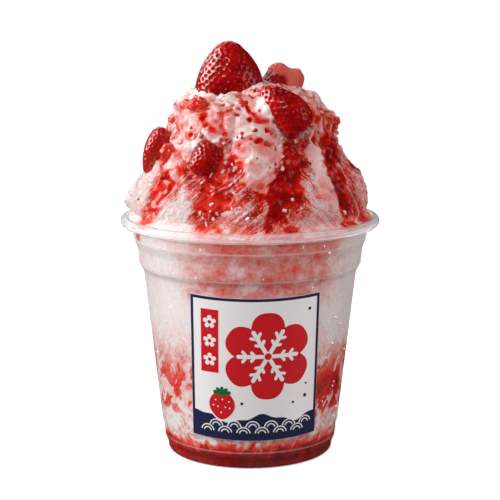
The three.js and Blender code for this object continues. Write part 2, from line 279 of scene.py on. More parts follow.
def closed_rings(bottom: Array | None, rings: Array, top: Array | None) -> Surface:
    """A surface from rings of points, closed by a point at either end where one is given.

    Args:
        bottom: the point before the first ring, or None.
        rings: the points by ring and place in it.
        top: the point after the last ring, or None.

    Returns:
        The surface, without numbers yet.
    """
    rows, columns, _ = rings.shape
    points = [rings.reshape(-1, 3)]
    faces = ring_faces(rows, columns)
    ahead = [(j + 1) % columns for j in range(columns)]
    count = rows * columns
    if bottom is not None:
        points.append(np.reshape(bottom, (1, 3)))
        faces += [[count, ahead[j], j] for j in range(columns)]
        count += 1
    if top is not None:
        points.append(np.reshape(top, (1, 3)))
        last = (rows - 1) * columns
        faces += [[last + j, last + ahead[j], count] for j in range(columns)]
    return Surface(np.concatenate(points), faces)


def unit_ball(subdivisions: int) -> tuple[Array, list[list[int]]]:
    """The points and faces of a round ball of radius 1."""
    ball = bmesh.new()
    bmesh.ops.create_icosphere(ball, subdivisions=subdivisions, radius=1)
    points = np.array([v.co[:] for v in ball.verts])
    faces = [[v.index for v in f.verts] for f in ball.faces]
    ball.free()
    return points, faces


def unit(vectors: Array) -> Array:
    """The same directions, each of length 1."""
    return vectors / np.linalg.norm(vectors, axis=-1, keepdims=True)


def hump(points: Array, place: Array | Point, width: float) -> Array:
    """A smooth hump round a place, 1 in its middle and faded over its width."""
    return np.exp(-((np.linalg.norm(points - np.array(place), axis=1) / width) ** 2))


def settle(piece: bpy.types.Object, slot: str, *nodes: str) -> bpy.types.Object:
    """Lets a piece ride on the frame and stand for its nodes, and logs it.

    Args:
        piece: the piece.
        slot: its record slot; not used.
        *nodes: the solids it stands for, if any.

    Returns:
        The piece.
    """
    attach(piece, "root")
    if nodes:
        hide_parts(*nodes)
    log.info("%s: %d faces, for %s", piece.name, len(piece.data.polygons), ", ".join(nodes) or "detail")
    return piece


# ---- Finishes ----


class Recipe:
    """The shader nodes of one finish, with short ways to add and join them."""

    def __init__(self, name: str) -> None:
        """Starts an empty material of that name."""
        self.material = bpy.data.materials.new(name)
        self.material.use_nodes = True
        self.tree = self.material.node_tree
        self.tree.nodes.clear()
        self.output = self.tree.nodes.new("ShaderNodeOutputMaterial")

    def node(self, kind: str, inputs: dict | None = None, **settings: object) -> bpy.types.Node:
        """Adds a node.

        Args:
            kind: the node's type.
            inputs: what goes in each named or numbered socket, a socket or a plain value.
            **settings: the node's own properties.

        Returns:
            The node.
        """
        made = self.tree.nodes.new(kind)
        for key, value in settings.items():
            setattr(made, key, value)
        for key, value in (inputs or {}).items():
            self.feed(made.inputs[key], value)
        return made

    def feed(self, socket: bpy.types.NodeSocket, value: object) -> None:
        """Links a socket to another, or sets it to a plain value."""
        if isinstance(value, bpy.types.NodeSocket):
            self.tree.links.new(value, socket)
        elif isinstance(value, tuple) and len(value) == 3 and socket.type == "RGBA":
            socket.default_value = (*value, 1)
        else:
            socket.default_value = value

    def value(self, name: str) -> bpy.types.NodeSocket:
        """A number that the mesh holds at its points."""
        return self.node("ShaderNodeAttribute", attribute_name=name).outputs["Fac"]

    def place(self) -> bpy.types.NodeSocket:
        """The place on the object, in metres."""
        return self.node("ShaderNodeTexCoord").outputs["Object"]

    def noise(self, size: float, detail: float = 2.0, rough: float = 0.5) -> bpy.types.NodeSocket:
        """A noise from 0 to 1 whose lumps are about size millimetres apart."""
        inputs = {"Vector": self.place(), "Scale": 1 / (size * MM), "Detail": detail, "Roughness": rough}
        return self.node("ShaderNodeTexNoise", inputs).outputs["Fac"]

    def math(
        self, kind: str, a: object, b: object = 0.0, c: object = 0.0, clamp: bool = False
    ) -> bpy.types.NodeSocket:
        """A sum on one to three numbers."""
        return self.node("ShaderNodeMath", {0: a, 1: b, 2: c}, operation=kind, use_clamp=clamp).outputs[0]

    def spread(
        self, value: object, low: float, high: float, to_low: float = 0.0, to_high: float = 1.0
    ) -> bpy.types.NodeSocket:
        """A number moved from one range to another, smoothly and without going past its ends."""
        inputs = {"Value": value, "From Min": low, "From Max": high, "To Min": to_low, "To Max": to_high}
        return self.node("ShaderNodeMapRange", inputs, interpolation_type="SMOOTHSTEP").outputs[0]

    def ramp(self, value: object, stops: Sequence[tuple[float, Colour]]) -> bpy.types.NodeSocket:
        """A colour for each value from 0 to 1, by its stops.

        Args:
            value: the number that picks the colour.
            stops: places from 0 to 1 and their colours.

        Returns:
            The colour.
        """
        made = self.node("ShaderNodeValToRGB", {"Fac": value})
        band = made.color_ramp
        while len(band.elements) < len(stops):
            band.elements.new(0.5)
        for element, (where, colour) in zip(band.elements, stops):
            element.position = where
            element.color = (*colour, 1)
        return made.outputs["Color"]

    def mix(self, share: object, a: object, b: object) -> bpy.types.NodeSocket:
        """A colour between a and b."""
        made = self.node("ShaderNodeMix", data_type="RGBA")
        self.feed(made.inputs["Factor"], share)
        self.feed(made.inputs[6], a)
        self.feed(made.inputs[7], b)
        return made.outputs[2]

    def bump(self, height: object, distance: float, strength: float) -> bpy.types.NodeSocket:
        """A normal bent by a height whose full range is distance millimetres."""
        inputs = {"Height": height, "Distance": distance * MM, "Strength": strength}
        return self.node("ShaderNodeBump", inputs).outputs["Normal"]

    def principled(self, inputs: dict) -> bpy.types.Node:
        """The main shader."""
        return self.node("ShaderNodeBsdfPrincipled", inputs)

    def finish(self, shader: bpy.types.NodeSocket) -> bpy.types.Material:
        """Sends a shader to the output and returns the material."""
        self.tree.links.new(shader, self.output.inputs["Surface"])
        return self.material


SYRUP_STOPS: tuple[tuple[float, Colour], ...] = (
    (0.0, (0.86, 0.80, 0.795)), (0.15, (0.83, 0.57, 0.555)), (0.3, (0.76, 0.29, 0.265)),
    (0.45, (0.79, 0.10, 0.07)), (0.6, (0.72, 0.02, 0.009)), (0.75, (0.44, 0.004, 0.003)),
    (1.0, (0.20, 0.002, 0.003)),
)


@dataclass(frozen=True)
class WetIce:
    """Shaved ice, from white through pink to deep red by how much syrup it holds, redder in the grooves of
    its streaks as painted shade, and glossy where it is wet.
    """

    name: str
    streak: float = 0.9
    streak_stretch: float = 6.0
    streak_height: float = 0.32
    stain_and_shade: float = 0.3
    grain: float = 0.6
    mottle: float = 0.16
    least: float = 0.07
    scatter: float = 0.9
    dry_roughness: float = 0.5
    wet_roughness: float = 0.14

    def build(self) -> bpy.types.Material:
        """Makes the material, which reads the mesh's numbers red, wet, dry, lay_along and lay_across."""
        r = Recipe(self.name)
        dry = r.value("dry")
        scale = 1 / self.streak
        along = r.math("MULTIPLY", r.value("lay_along"), scale / self.streak_stretch)
        across = r.math("MULTIPLY", r.value("lay_across"), scale)
        lay = r.node("ShaderNodeCombineXYZ", {0: along, 1: across}).outputs[0]
        streak_inputs = {"Vector": lay, "Scale": 1.0, "Detail": 4.0, "Roughness": 0.6, "Distortion": 0.4}
        streak = r.node("ShaderNodeTexNoise", streak_inputs).outputs["Fac"]
        fine = r.noise(self.grain, 3, 0.6)
        # The strokes redden the ice where its bump sinks it, so they are pink stripes and also painted shade
        # in the grooves of the streaks.
        strokes = r.spread(streak, 0.36, 0.64, -0.5, 0.5)
        red = r.math("MULTIPLY_ADD", strokes, r.math("MULTIPLY", dry, self.stain_and_shade), r.value("red"))
        wet = r.value("wet")
        mottle = r.math("MULTIPLY", r.spread(wet, 0.4, 1.0, 1.0, 0.4), self.mottle)
        red = r.math("MULTIPLY_ADD", r.spread(fine, 0.3, 0.7, -0.5, 0.5), mottle, red)
        red = r.math("MAXIMUM", red, r.math("MULTIPLY", dry, self.least), clamp=True)
        rough = r.math("MULTIPLY", fine, r.spread(wet, 0.5, 1.0, 0.25, 0.6))
        relief = r.math("MULTIPLY_ADD", r.math("SUBTRACT", 1.0, streak), dry, rough)
        shader = r.principled(
            {
                "Base Color": r.ramp(red, SYRUP_STOPS),
                "Roughness": r.spread(wet, 0.1, 0.9, self.dry_roughness, self.wet_roughness),
                "Subsurface Weight": 0.5,
                "Subsurface Radius": (1.0, 0.4, 0.35),
                "Subsurface Scale": self.scatter * MM,
                "IOR": 1.33,
                "Specular IOR Level": 0.28,
                "Coat Weight": r.math("MULTIPLY", wet, 0.8),
                "Coat Roughness": 0.06,
                "Normal": r.bump(relief, self.streak_height, 0.8),
            }
        )
        return r.finish(shader.outputs[0])


@dataclass(frozen=True)
class BerrySkin:
    """A strawberry's glossy skin, and the paler flesh where the number flesh is 1."""

    name: str
    deep: Colour = (0.15, 0.001, 0.002)
    bright: Colour = (0.54, 0.004, 0.003)
    flesh: Colour = (0.64, 0.085, 0.065)
    pale: Colour = (0.78, 0.24, 0.18)

    def build(self) -> bpy.types.Material:
        """Makes the material, which reads the numbers flesh, core, pit and tone at the mesh's points."""
        r = Recipe(self.name)
        fine = r.noise(0.5, 2)
        patches = r.math("ADD", r.value("tone"), r.spread(r.noise(5, 2), 0.3, 0.7, -0.25, 0.25), clamp=True)
        skin = r.mix(patches, self.deep, self.bright)
        off_middle = r.math("SUBTRACT", r.noise(1.6, 3), 0.5)
        veins = r.math("MULTIPLY_ADD", off_middle, 0.25, r.value("core"), clamp=True)
        flesh = r.mix(veins, self.flesh, self.pale)
        is_flesh = r.value("flesh")
        dull = r.math("MAXIMUM", r.math("MULTIPLY", is_flesh, 0.8), r.value("pit"))
        shader = r.principled(
            {
                "Base Color": r.mix(is_flesh, skin, flesh),
                "Roughness": r.spread(dull, 0, 1, 0.2, 0.5),
                "Subsurface Weight": 0.35,
                "Subsurface Radius": (1.0, 0.3, 0.2),
                "Subsurface Scale": 1.2 * MM,
                "IOR": 1.4,
                "Specular IOR Level": 0.1,
                "Coat Weight": r.math("SUBTRACT", 1.0, dull, clamp=True),
                "Coat Roughness": 0.05,
                "Coat IOR": 1.75,
                "Normal": r.bump(fine, 0.015, 0.5),
            }
        )
        return r.finish(shader.outputs[0])


@dataclass(frozen=True)
class SeedHusk:
    """The husk of a strawberry seed, from the red of the skin to pale straw by the number tone."""

    name: str
    dark: Colour = (0.30, 0.012, 0.008)
    pale: Colour = (0.82, 0.25, 0.17)

    def build(self) -> bpy.types.Material:
        """Makes the material."""
        r = Recipe(self.name)
        grain = r.noise(0.4, 2)
        tone = r.math("ADD", r.spread(r.value("tone"), 0.55, 1.1), r.math("MULTIPLY", grain, 0.1), clamp=True)
        shader = r.principled(
            {
                "Base Color": r.mix(tone, self.dark, self.pale),
                "Roughness": r.spread(grain, 0.2, 0.8, 0.4, 0.5),
                "Specular IOR Level": 0.12,
                "Normal": r.bump(grain, 0.02, 0.5),
            }
        )
        return r.finish(shader.outputs[0])


@dataclass(frozen=True)
class PlainCoat:
    """A satin ink or film with a fine mottle between two colours."""

    name: str
    colour: Colour
    other: Colour
    size: float = 0.7
    roughness: float = 0.5
    bump: float = 0.01

    def build(self) -> bpy.types.Material:
        """Makes the material."""
        r = Recipe(self.name)
        mottle = r.noise(self.size, 3)
        shader = r.principled(
            {
                "Base Color": r.mix(mottle, self.colour, self.other),
                "Roughness": r.spread(mottle, 0.2, 0.8, self.roughness - 0.06, self.roughness + 0.06),
                "Specular IOR Level": 0.25,
                "Normal": r.bump(mottle, self.bump, 0.5),
            }
        )
        return r.finish(shader.outputs[0])


FROST_WHITE: Colour = (0.86, 0.86, 0.87)


@dataclass(frozen=True)
class HazeAndHighlightRing:
    """A whiter ring of frost in the wall, a painted highlight line where it follows a moulded step: its
    height, its reach up and down, and its share of frost.
    """

    z: float
    reach: float
    frost: float


@dataclass(frozen=True)
class ThinClear:
    """Thin clear plastic with a faint frost, whiter along its moulded steps as painted highlight lines, and
    hazier in a band under the rim.
    """

    name: str
    tint: Colour = (0.975, 0.98, 0.98)
    frost: float = 0.02
    roughness: float = 0.07
    ripple: float = 0.02
    most_gloss: float = 0.12
    # The rings at 82.9, 72.5 and 7.0 mm whiten the moulded steps as painted highlight lines; the wide one at
    # 90 mm is a band of haze under the rim.
    rings: tuple[HazeAndHighlightRing, ...] = (
        HazeAndHighlightRing(82.9, 0.5, 0.3), HazeAndHighlightRing(72.5, 0.5, 0.3), HazeAndHighlightRing(7.0, 0.45, 0.2),
        HazeAndHighlightRing(90.0, 4.0, 0.16),
    )

    def build(self) -> bpy.types.Material:
        """Makes the material."""
        r = Recipe(self.name)
        normal = r.bump(r.noise(6, 2), self.ripple, 0.6)
        clear = r.node("ShaderNodeBsdfTransparent", {"Color": self.tint}).outputs[0]
        haze = r.node("ShaderNodeBsdfDiffuse", {"Color": FROST_WHITE, "Normal": normal}).outputs[0]
        haze_share = r.spread(r.noise(14, 2), 0.3, 0.7, self.frost * 0.5, self.frost * 1.5)
        height = r.node("ShaderNodeSeparateXYZ", {0: r.place()}).outputs["Z"]
        for ring in self.rings:
            off = r.math("ABSOLUTE", r.math("SUBTRACT", height, ring.z * MM))
            reach = ring.reach * MM
            haze_share = r.math("MAXIMUM", haze_share, r.spread(off, reach, 0.3 * reach, 0.0, ring.frost))
        body = r.node("ShaderNodeMixShader", {0: haze_share, 1: clear, 2: haze}).outputs[0]
        gloss_inputs = {"Color": (1, 1, 1), "Roughness": self.roughness, "Normal": normal}
        gloss = r.node("ShaderNodeBsdfGlossy", gloss_inputs)
        fresnel = r.node("ShaderNodeFresnel", {"IOR": 1.46, "Normal": normal}).outputs[0]
        share = r.math("MINIMUM", fresnel, self.most_gloss)
        wall = r.node("ShaderNodeMixShader", {0: share, 1: body, 2: gloss.outputs[0]}).outputs[0]
        shadow = r.node("ShaderNodeLightPath").outputs["Is Shadow Ray"]
        return r.finish(r.node("ShaderNodeMixShader", {0: shadow, 1: wall, 2: clear}).outputs[0])


@dataclass(frozen=True)
class ThickClear:
    """Clear plastic or water thick enough to bend what lies behind it, with a share of frost."""

    name: str
    tint: Colour = (0.985, 0.99, 0.99)
    roughness: float = 0.03
    ior: float = 1.45
    frost: float = 0.0
    haze: Colour = FROST_WHITE

    def build(self) -> bpy.types.Material:
        """Makes the material."""
        r = Recipe(self.name)
        normal = r.bump(r.noise(5, 2), 0.02, 0.5)
        shader = r.principled(
            {
                "Base Color": self.tint,
                "Roughness": self.roughness,
                "IOR": self.ior,
                "Transmission Weight": 1.0,
                "Normal": normal,
            }
        ).outputs[0]
        if self.frost:
            haze = r.node("ShaderNodeBsdfDiffuse", {"Color": self.haze, "Normal": normal}).outputs[0]
            shader = r.node("ShaderNodeMixShader", {0: self.frost, 1: shader, 2: haze}).outputs[0]
        clear = r.node("ShaderNodeBsdfTransparent", {"Color": self.tint})
        shadow = r.node("ShaderNodeLightPath").outputs["Is Shadow Ray"]
        mixed = r.node("ShaderNodeMixShader", {0: shadow, 1: shader, 2: clear.outputs[0]})
        return r.finish(mixed.outputs[0])


# ---- The cup ----


@dataclass(frozen=True)
class Cup:
    """The clear plastic cup: a raised floor, a foot, two stacking steps, a long cone and a rolled rim."""

    curl_radius: float = 1.65
    curl_from: float = 180.0
    curl_to: float = -135.0
    curl_steps: int = 28
    columns: int = 144
    cone_low: Pair = (34.0, 12.0)
    cone_high: Pair = (40.4, 68.5)
    foot_radius: float = 31.0

    def line(self) -> list[Pair]:
        """The middle of the wall as (radius, height), from the floor's centre to the end of the rim."""
        middle = WALL / 2
        centre = (RIM_RADIUS - middle - self.curl_radius, CUP_HEIGHT - middle - self.curl_radius)
        angles = np.radians(np.linspace(self.curl_from, self.curl_to, self.curl_steps + 1))
        reach = self.curl_radius
        curl = [(centre[0] + reach * math.cos(a), centre[1] + reach * math.sin(a)) for a in angles]
        wall = [
            (0, PUSH_UP + middle), (25.8, PUSH_UP + middle), (28, middle), (self.foot_radius, middle),
            (31.7, 1), (31.9, 3.4), (32.9, 5.2), (33.5, 10.8), self.cone_low, self.cone_high,
            (40.8, 70.6), (42.2, 72.8), (42.9, 79), (44.2, 82.6), (44.7, 86), curl[0],
        ]
        return rounded(wall, 0.8) + curl[1:]

    def filled_line(self) -> Array:
        """The line that what fills the cup follows, just inside the wall, from the centre of the floor."""
        return beside(self.line(), -WALL / 2 + BITE)

    def inner(self, z: Array) -> Array:
        """The radius at which a filling just reaches into the wall, at each height above the floor."""
        line = self.filled_line()
        upright = line[(line[:, 0] > self.foot_radius + 0.3) & (line[:, 1] < CUP_HEIGHT - 2)]
        return np.interp(z, upright[:, 1], upright[:, 0])

    def outer(self, z: Array) -> Array:
        """The outside radius of the wall, at each height above the foot."""
        line = beside(self.line(), WALL / 2)
        upright = line[(line[:, 0] > self.foot_radius) & (line[:, 1] < CUP_HEIGHT - 3.4)]
        return np.interp(z, upright[:, 1], upright[:, 0])

    def surface(self) -> Surface:
        """The whole thin shell, closed on itself."""
        outside = beside(self.line(), WALL / 2)
        inside = beside(self.line(), -WALL / 2)[::-1]
        loop = np.concatenate([outside[1:], inside[:-1]])
        azimuths = np.linspace(0, 360, self.columns, endpoint=False)
        rings = at(azimuths[None, :], loop[:, 0][:, None], loop[:, 1][:, None])
        return closed_rings(np.array([0, 0, PUSH_UP]), rings, np.array([0, 0, PUSH_UP + WALL]))

    def make(self, wall: bpy.types.Material, rim: bpy.types.Material) -> None:
        """Builds the cup, with a finish of its own on the rolled rim.

        Args:
            wall: the finish of the thin wall.
            rim: the finish of the rolled rim.
        """
        piece = self.surface().build("cup_clear", [wall, rim])
        rim_start = (CUP_HEIGHT - 2 * self.curl_radius - WALL) * MM
        for face in piece.data.polygons:
            face.material_index = int(face.center.z > rim_start)
        settle(piece, "clear_plastic", "cup")


@dataclass(frozen=True)
class Droplets:
    """Beads of condensed water on the outside of the cup, clear of the label between its sides' azimuths."""

    cup: Cup
    count: int = 300
    smallest: float = 0.16
    largest: float = 0.6
    low: float = 14.0
    high: float = 86.0
    label_sides: Pair = (-38.0, 44.0)
    label_top: float = 68.0
    rings: int = 4
    columns: int = 10
    seed: int = 5

    def make(self, finish: bpy.types.Material) -> None:
        """Builds the beads as one piece."""
        random = np.random.default_rng(self.seed)
        left, right = self.label_sides
        beads = []
        while len(beads) < self.count:
            azimuth, z = random.uniform(-180, 180), random.uniform(self.low, self.high)
            if left < azimuth < right and z < self.label_top:
                continue
            size = self.smallest + (self.largest - self.smallest) * random.random() ** 3
            beads.append(self.bead(azimuth, z, size, random.uniform(0.35, 0.6)))
        settle(joined(beads).build("water_beads", [finish]), "clear_plastic")

    def bead(self, azimuth: float, z: float, size: float, flat: float) -> Surface:
        """One bead: a flattened half ball that sits in the wall.

        Args:
            azimuth: where it is round the cup.
            z: its height.
            size: its radius.
            flat: its height as a share of its radius.

        Returns:
            Its surface.
        """
        polar = np.radians(np.linspace(100, 25, self.rings))
        turn = np.linspace(0, 2 * np.pi, self.columns, endpoint=False)
        outwards = at(azimuth, 1, 0)
        side, up = at(azimuth + 90, 1, 0), np.array([0, 0, 1.0])
        centre = at(azimuth, float(self.cup.outer(np.array(z))), z)
        across = np.sin(polar)[:, None, None] * (
            np.cos(turn)[None, :, None] * side + 1.15 * np.sin(turn)[None, :, None] * up
        )
        points = centre + size * (across + flat * np.cos(polar)[:, None, None] * outwards)
        return closed_rings(centre - 0.05 * outwards, points, centre + size * flat * outwards)


# ---- What fills the cup ----


@dataclass(frozen=True)
class Boundary:
    """A wavy boundary between two layers."""

    z: float
    wave: float
    cell: float

    def height(self, azimuth: Array, radius: Array | float) -> Array:
        """Its height at each azimuth and distance from the axis."""
        points = at(azimuth, radius, self.z)
        return self.z + self.wave * noise(points.reshape(-1, 3), self.cell).reshape(points.shape[:-1])

    def middle(self) -> Array:
        """Its point on the axis."""
        return np.array([0, 0, float(self.height(np.zeros(1), 0.0)[0])])


POOL_TOP = Boundary(6.4, 0.8, 9)
PALE_TOP = Boundary(20, 2.6, 15)
SOAKED_TOP = Boundary(36.5, 3, 17)


@dataclass(frozen=True)
class Filling:
    """The syrup and ice that show through the wall, from the floor to the rim.

    drip is the (azimuth, height) of a drip of syrup under the rim.
    """

    cup: Cup
    columns: int = 460
    row_height: float = 0.52
    drip: Pair = (-69.0, 87.0)
    drip_size: float = 3.2

    def red(self, points: Array) -> Array:
        """How much syrup the ice at the wall holds, from 0 to 1.

        Args:
            points: places at the wall.

        Returns:
            One number for each place.
        """
        azimuth = azimuth_of(points) + 6 * noise(points, 11)
        torn = warp(warp(points, 7, 4), 2.6, 1.8)
        z = points[:, 2] + 2.0 * noise(points, 13)
        heights = [0, 5.5, 7.5, 9.5, 13, 19, 24, 31, 36, 42, 50, 58]
        amounts = [1, 0.95, 0.76, 0.4, 0.15, 0.12, 0.16, 0.2, 0.17, 0.13, 0.06, 0.0]
        turn = np.sin(np.radians(azimuth))
        side = np.where(turn > 0, 0.07, 0.04 + 0.05 * step(22, 14, z)) * turn * step(52, 36, z)
        body = np.interp(points[:, 2] + 1.2 * noise(points, 6), heights, amounts) + side
        round_way = np.radians(azimuth) * GRAIN_RADIUS
        along, across = round_way + points[:, 2], points[:, 2] - round_way
        slant = noise(np.stack([along / 6, across / 1.4, 0 * azimuth], axis=-1), 1.3)
        rough = noise(torn * [1, 1, 0.6], 4.2) + 0.35 * noise(torn, 1.9) + 0.2 * slant
        tear = step(-0.02, 0.07, rough + 0.5 * side)
        reach = np.interp(z, [7, 11, 17, 21, 32, 39, 47], [0.1, 0.35, 0.4, 0.95, 1, 0.45, 0])
        spot, spot_number = nearest_seed(torn, 4.5)
        spots = step(0.3, 0.15, spot) * (spot_number > 0.1) * step(48, 42, z)
        pale = step(9, 5, z) * step(0.15, 0.45, noise(torn, 2.6))
        low = body + (0.4 + side) * reach * tear + 0.25 * spots - 0.15 * pale
        grain = 0.05 * noise(points, 1.8)
        flecks = step(0.05, 0.25, noise(torn, 1.7)) * step(24, 13, z) * (0.3 + 0.7 * step(6, 9, z))
        low += (0.07 * slant + 0.07 * noise(points, 1.1)) * step(58, 44, z)
        upper, drip = self.upper_cloud(points, azimuth, z), self.drip_share(points)
        return np.clip(np.maximum(low - 0.22 * flecks, 0) + upper + grain + 0.5 * drip, 0, 1)

    def upper_cloud(self, points: Array, azimuth: Array, z: Array) -> Array:
        """The pink clouds at the top of the packed ice, in front and behind."""
        cloud = 0.5 * noise(warp(points, 9, 4), 7) + 0.35 * noise(points, 3.2) + 0.2 * noise(points, 1.4)
        front = np.maximum(step(-48, -14, azimuth) * step(60, 34, azimuth), step(128, 160, np.abs(azimuth)))
        return step(60, 67, z) * (0.02 + front * (0.27 + 0.22 * cloud + 0.04 * step(76, 86, z)))

    def drip_share(self, points: Array) -> Array:
        """A drip of syrup under the rim, at the left."""
        aside = (azimuth_of(points) - self.drip[0]) / self.drip_size
        below = (points[:, 2] - self.drip[1]) / self.drip_size
        return step(1.6, 0.6, np.hypot(aside, below) + 0.4 * noise(points, 2))

    def cap(self, boundary: Boundary, azimuths: Array) -> list[Array]:
        """Rings across a boundary, from the axis outwards."""
        radii = [share * self.cup.inner(np.array(boundary.z)) for share in CAP_SHARES]
        return [at(azimuths, radius, boundary.height(azimuths, float(radius))) for radius in radii]

    def edge(self, boundary: Boundary, azimuths: Array) -> Array:
        """The height of a boundary at the wall, at each azimuth."""
        return boundary.height(azimuths, float(self.cup.inner(np.array(boundary.z))))

    def side(self, azimuths: Array, low: Array, high: Array | float, count: int) -> list[Array]:
        """Rings up the wall from one height to another, in so many steps."""
        heights = [low + (high - low) * share for share in np.linspace(0, 1, count + 1)]
        return [at(azimuths, self.cup.inner(z), z) for z in heights]

    def finish_values(self, surface: Surface) -> Surface:
        """The surface with the numbers that its finish reads."""
        surface.values["red"] = self.red(surface.points)
        surface.values["wet"] = np.full(len(surface.points), 0.2)
        surface.values["dry"] = np.zeros(len(surface.points))
        return surface

    def layer(self, below: Boundary | None, above: Boundary) -> Surface:
        """One layer, whose side reaches just into the wall.

        Args:
            below: the boundary it lies on, or None for the floor.
            above: its top boundary.

        Returns:
            Its closed surface.
        """
        azimuths = np.linspace(0, 360, self.columns, endpoint=False)
        high = self.edge(above, azimuths)
        if below is None:
            line = self.cup.filled_line()
            floor = line[(line[:, 1] < 3.4) & (np.arange(len(line)) > 0)]
            rings = [at(azimuths, r, z) for r, z in floor]
            low = np.full_like(high, floor[-1][1])
            bottom = np.array([0, 0, line[0][1]])
        else:
            rings = self.cap(below, azimuths)
            low = self.edge(below, azimuths)
            bottom = below.middle()
        count = max(2, int((high - low).mean() / self.row_height))
        rings += self.side(azimuths, low, high, count) + self.cap(above, azimuths)[::-1]
        return self.finish_values(closed_rings(bottom, np.array(rings), above.middle()))

    def make(self, finish: bpy.types.Material) -> None:
        """Builds the three lower layers."""
        for below, above, name, slot, node in (
            (None, POOL_TOP, "syrup_at_foot", "syrup", "syrup_pool"),
            (POOL_TOP, PALE_TOP, "pale_ice_band", "pale_ice", "ice_pale_layer"),
            (PALE_TOP, SOAKED_TOP, "soaked_ice_band", "soaked_ice", "ice_soaked_layer"),
        ):
            settle(self.layer(below, above).build(name, [finish], LAYER_CREASE), slot, node)


# ---- Strawberries ----

BERRY_OUTLINE: tuple[Pair, ...] = (
    (0.1, 0), (0.03, 0.22), (0, 0.46), (0.04, 0.72), (0.14, 0.92), (0.3, 1), (0.48, 0.95), (0.64, 0.82),
    (0.78, 0.64), (0.89, 0.44), (0.96, 0.26), (1, 0),
)


SEED_RINGS = 5
SEED_COLUMNS = 8


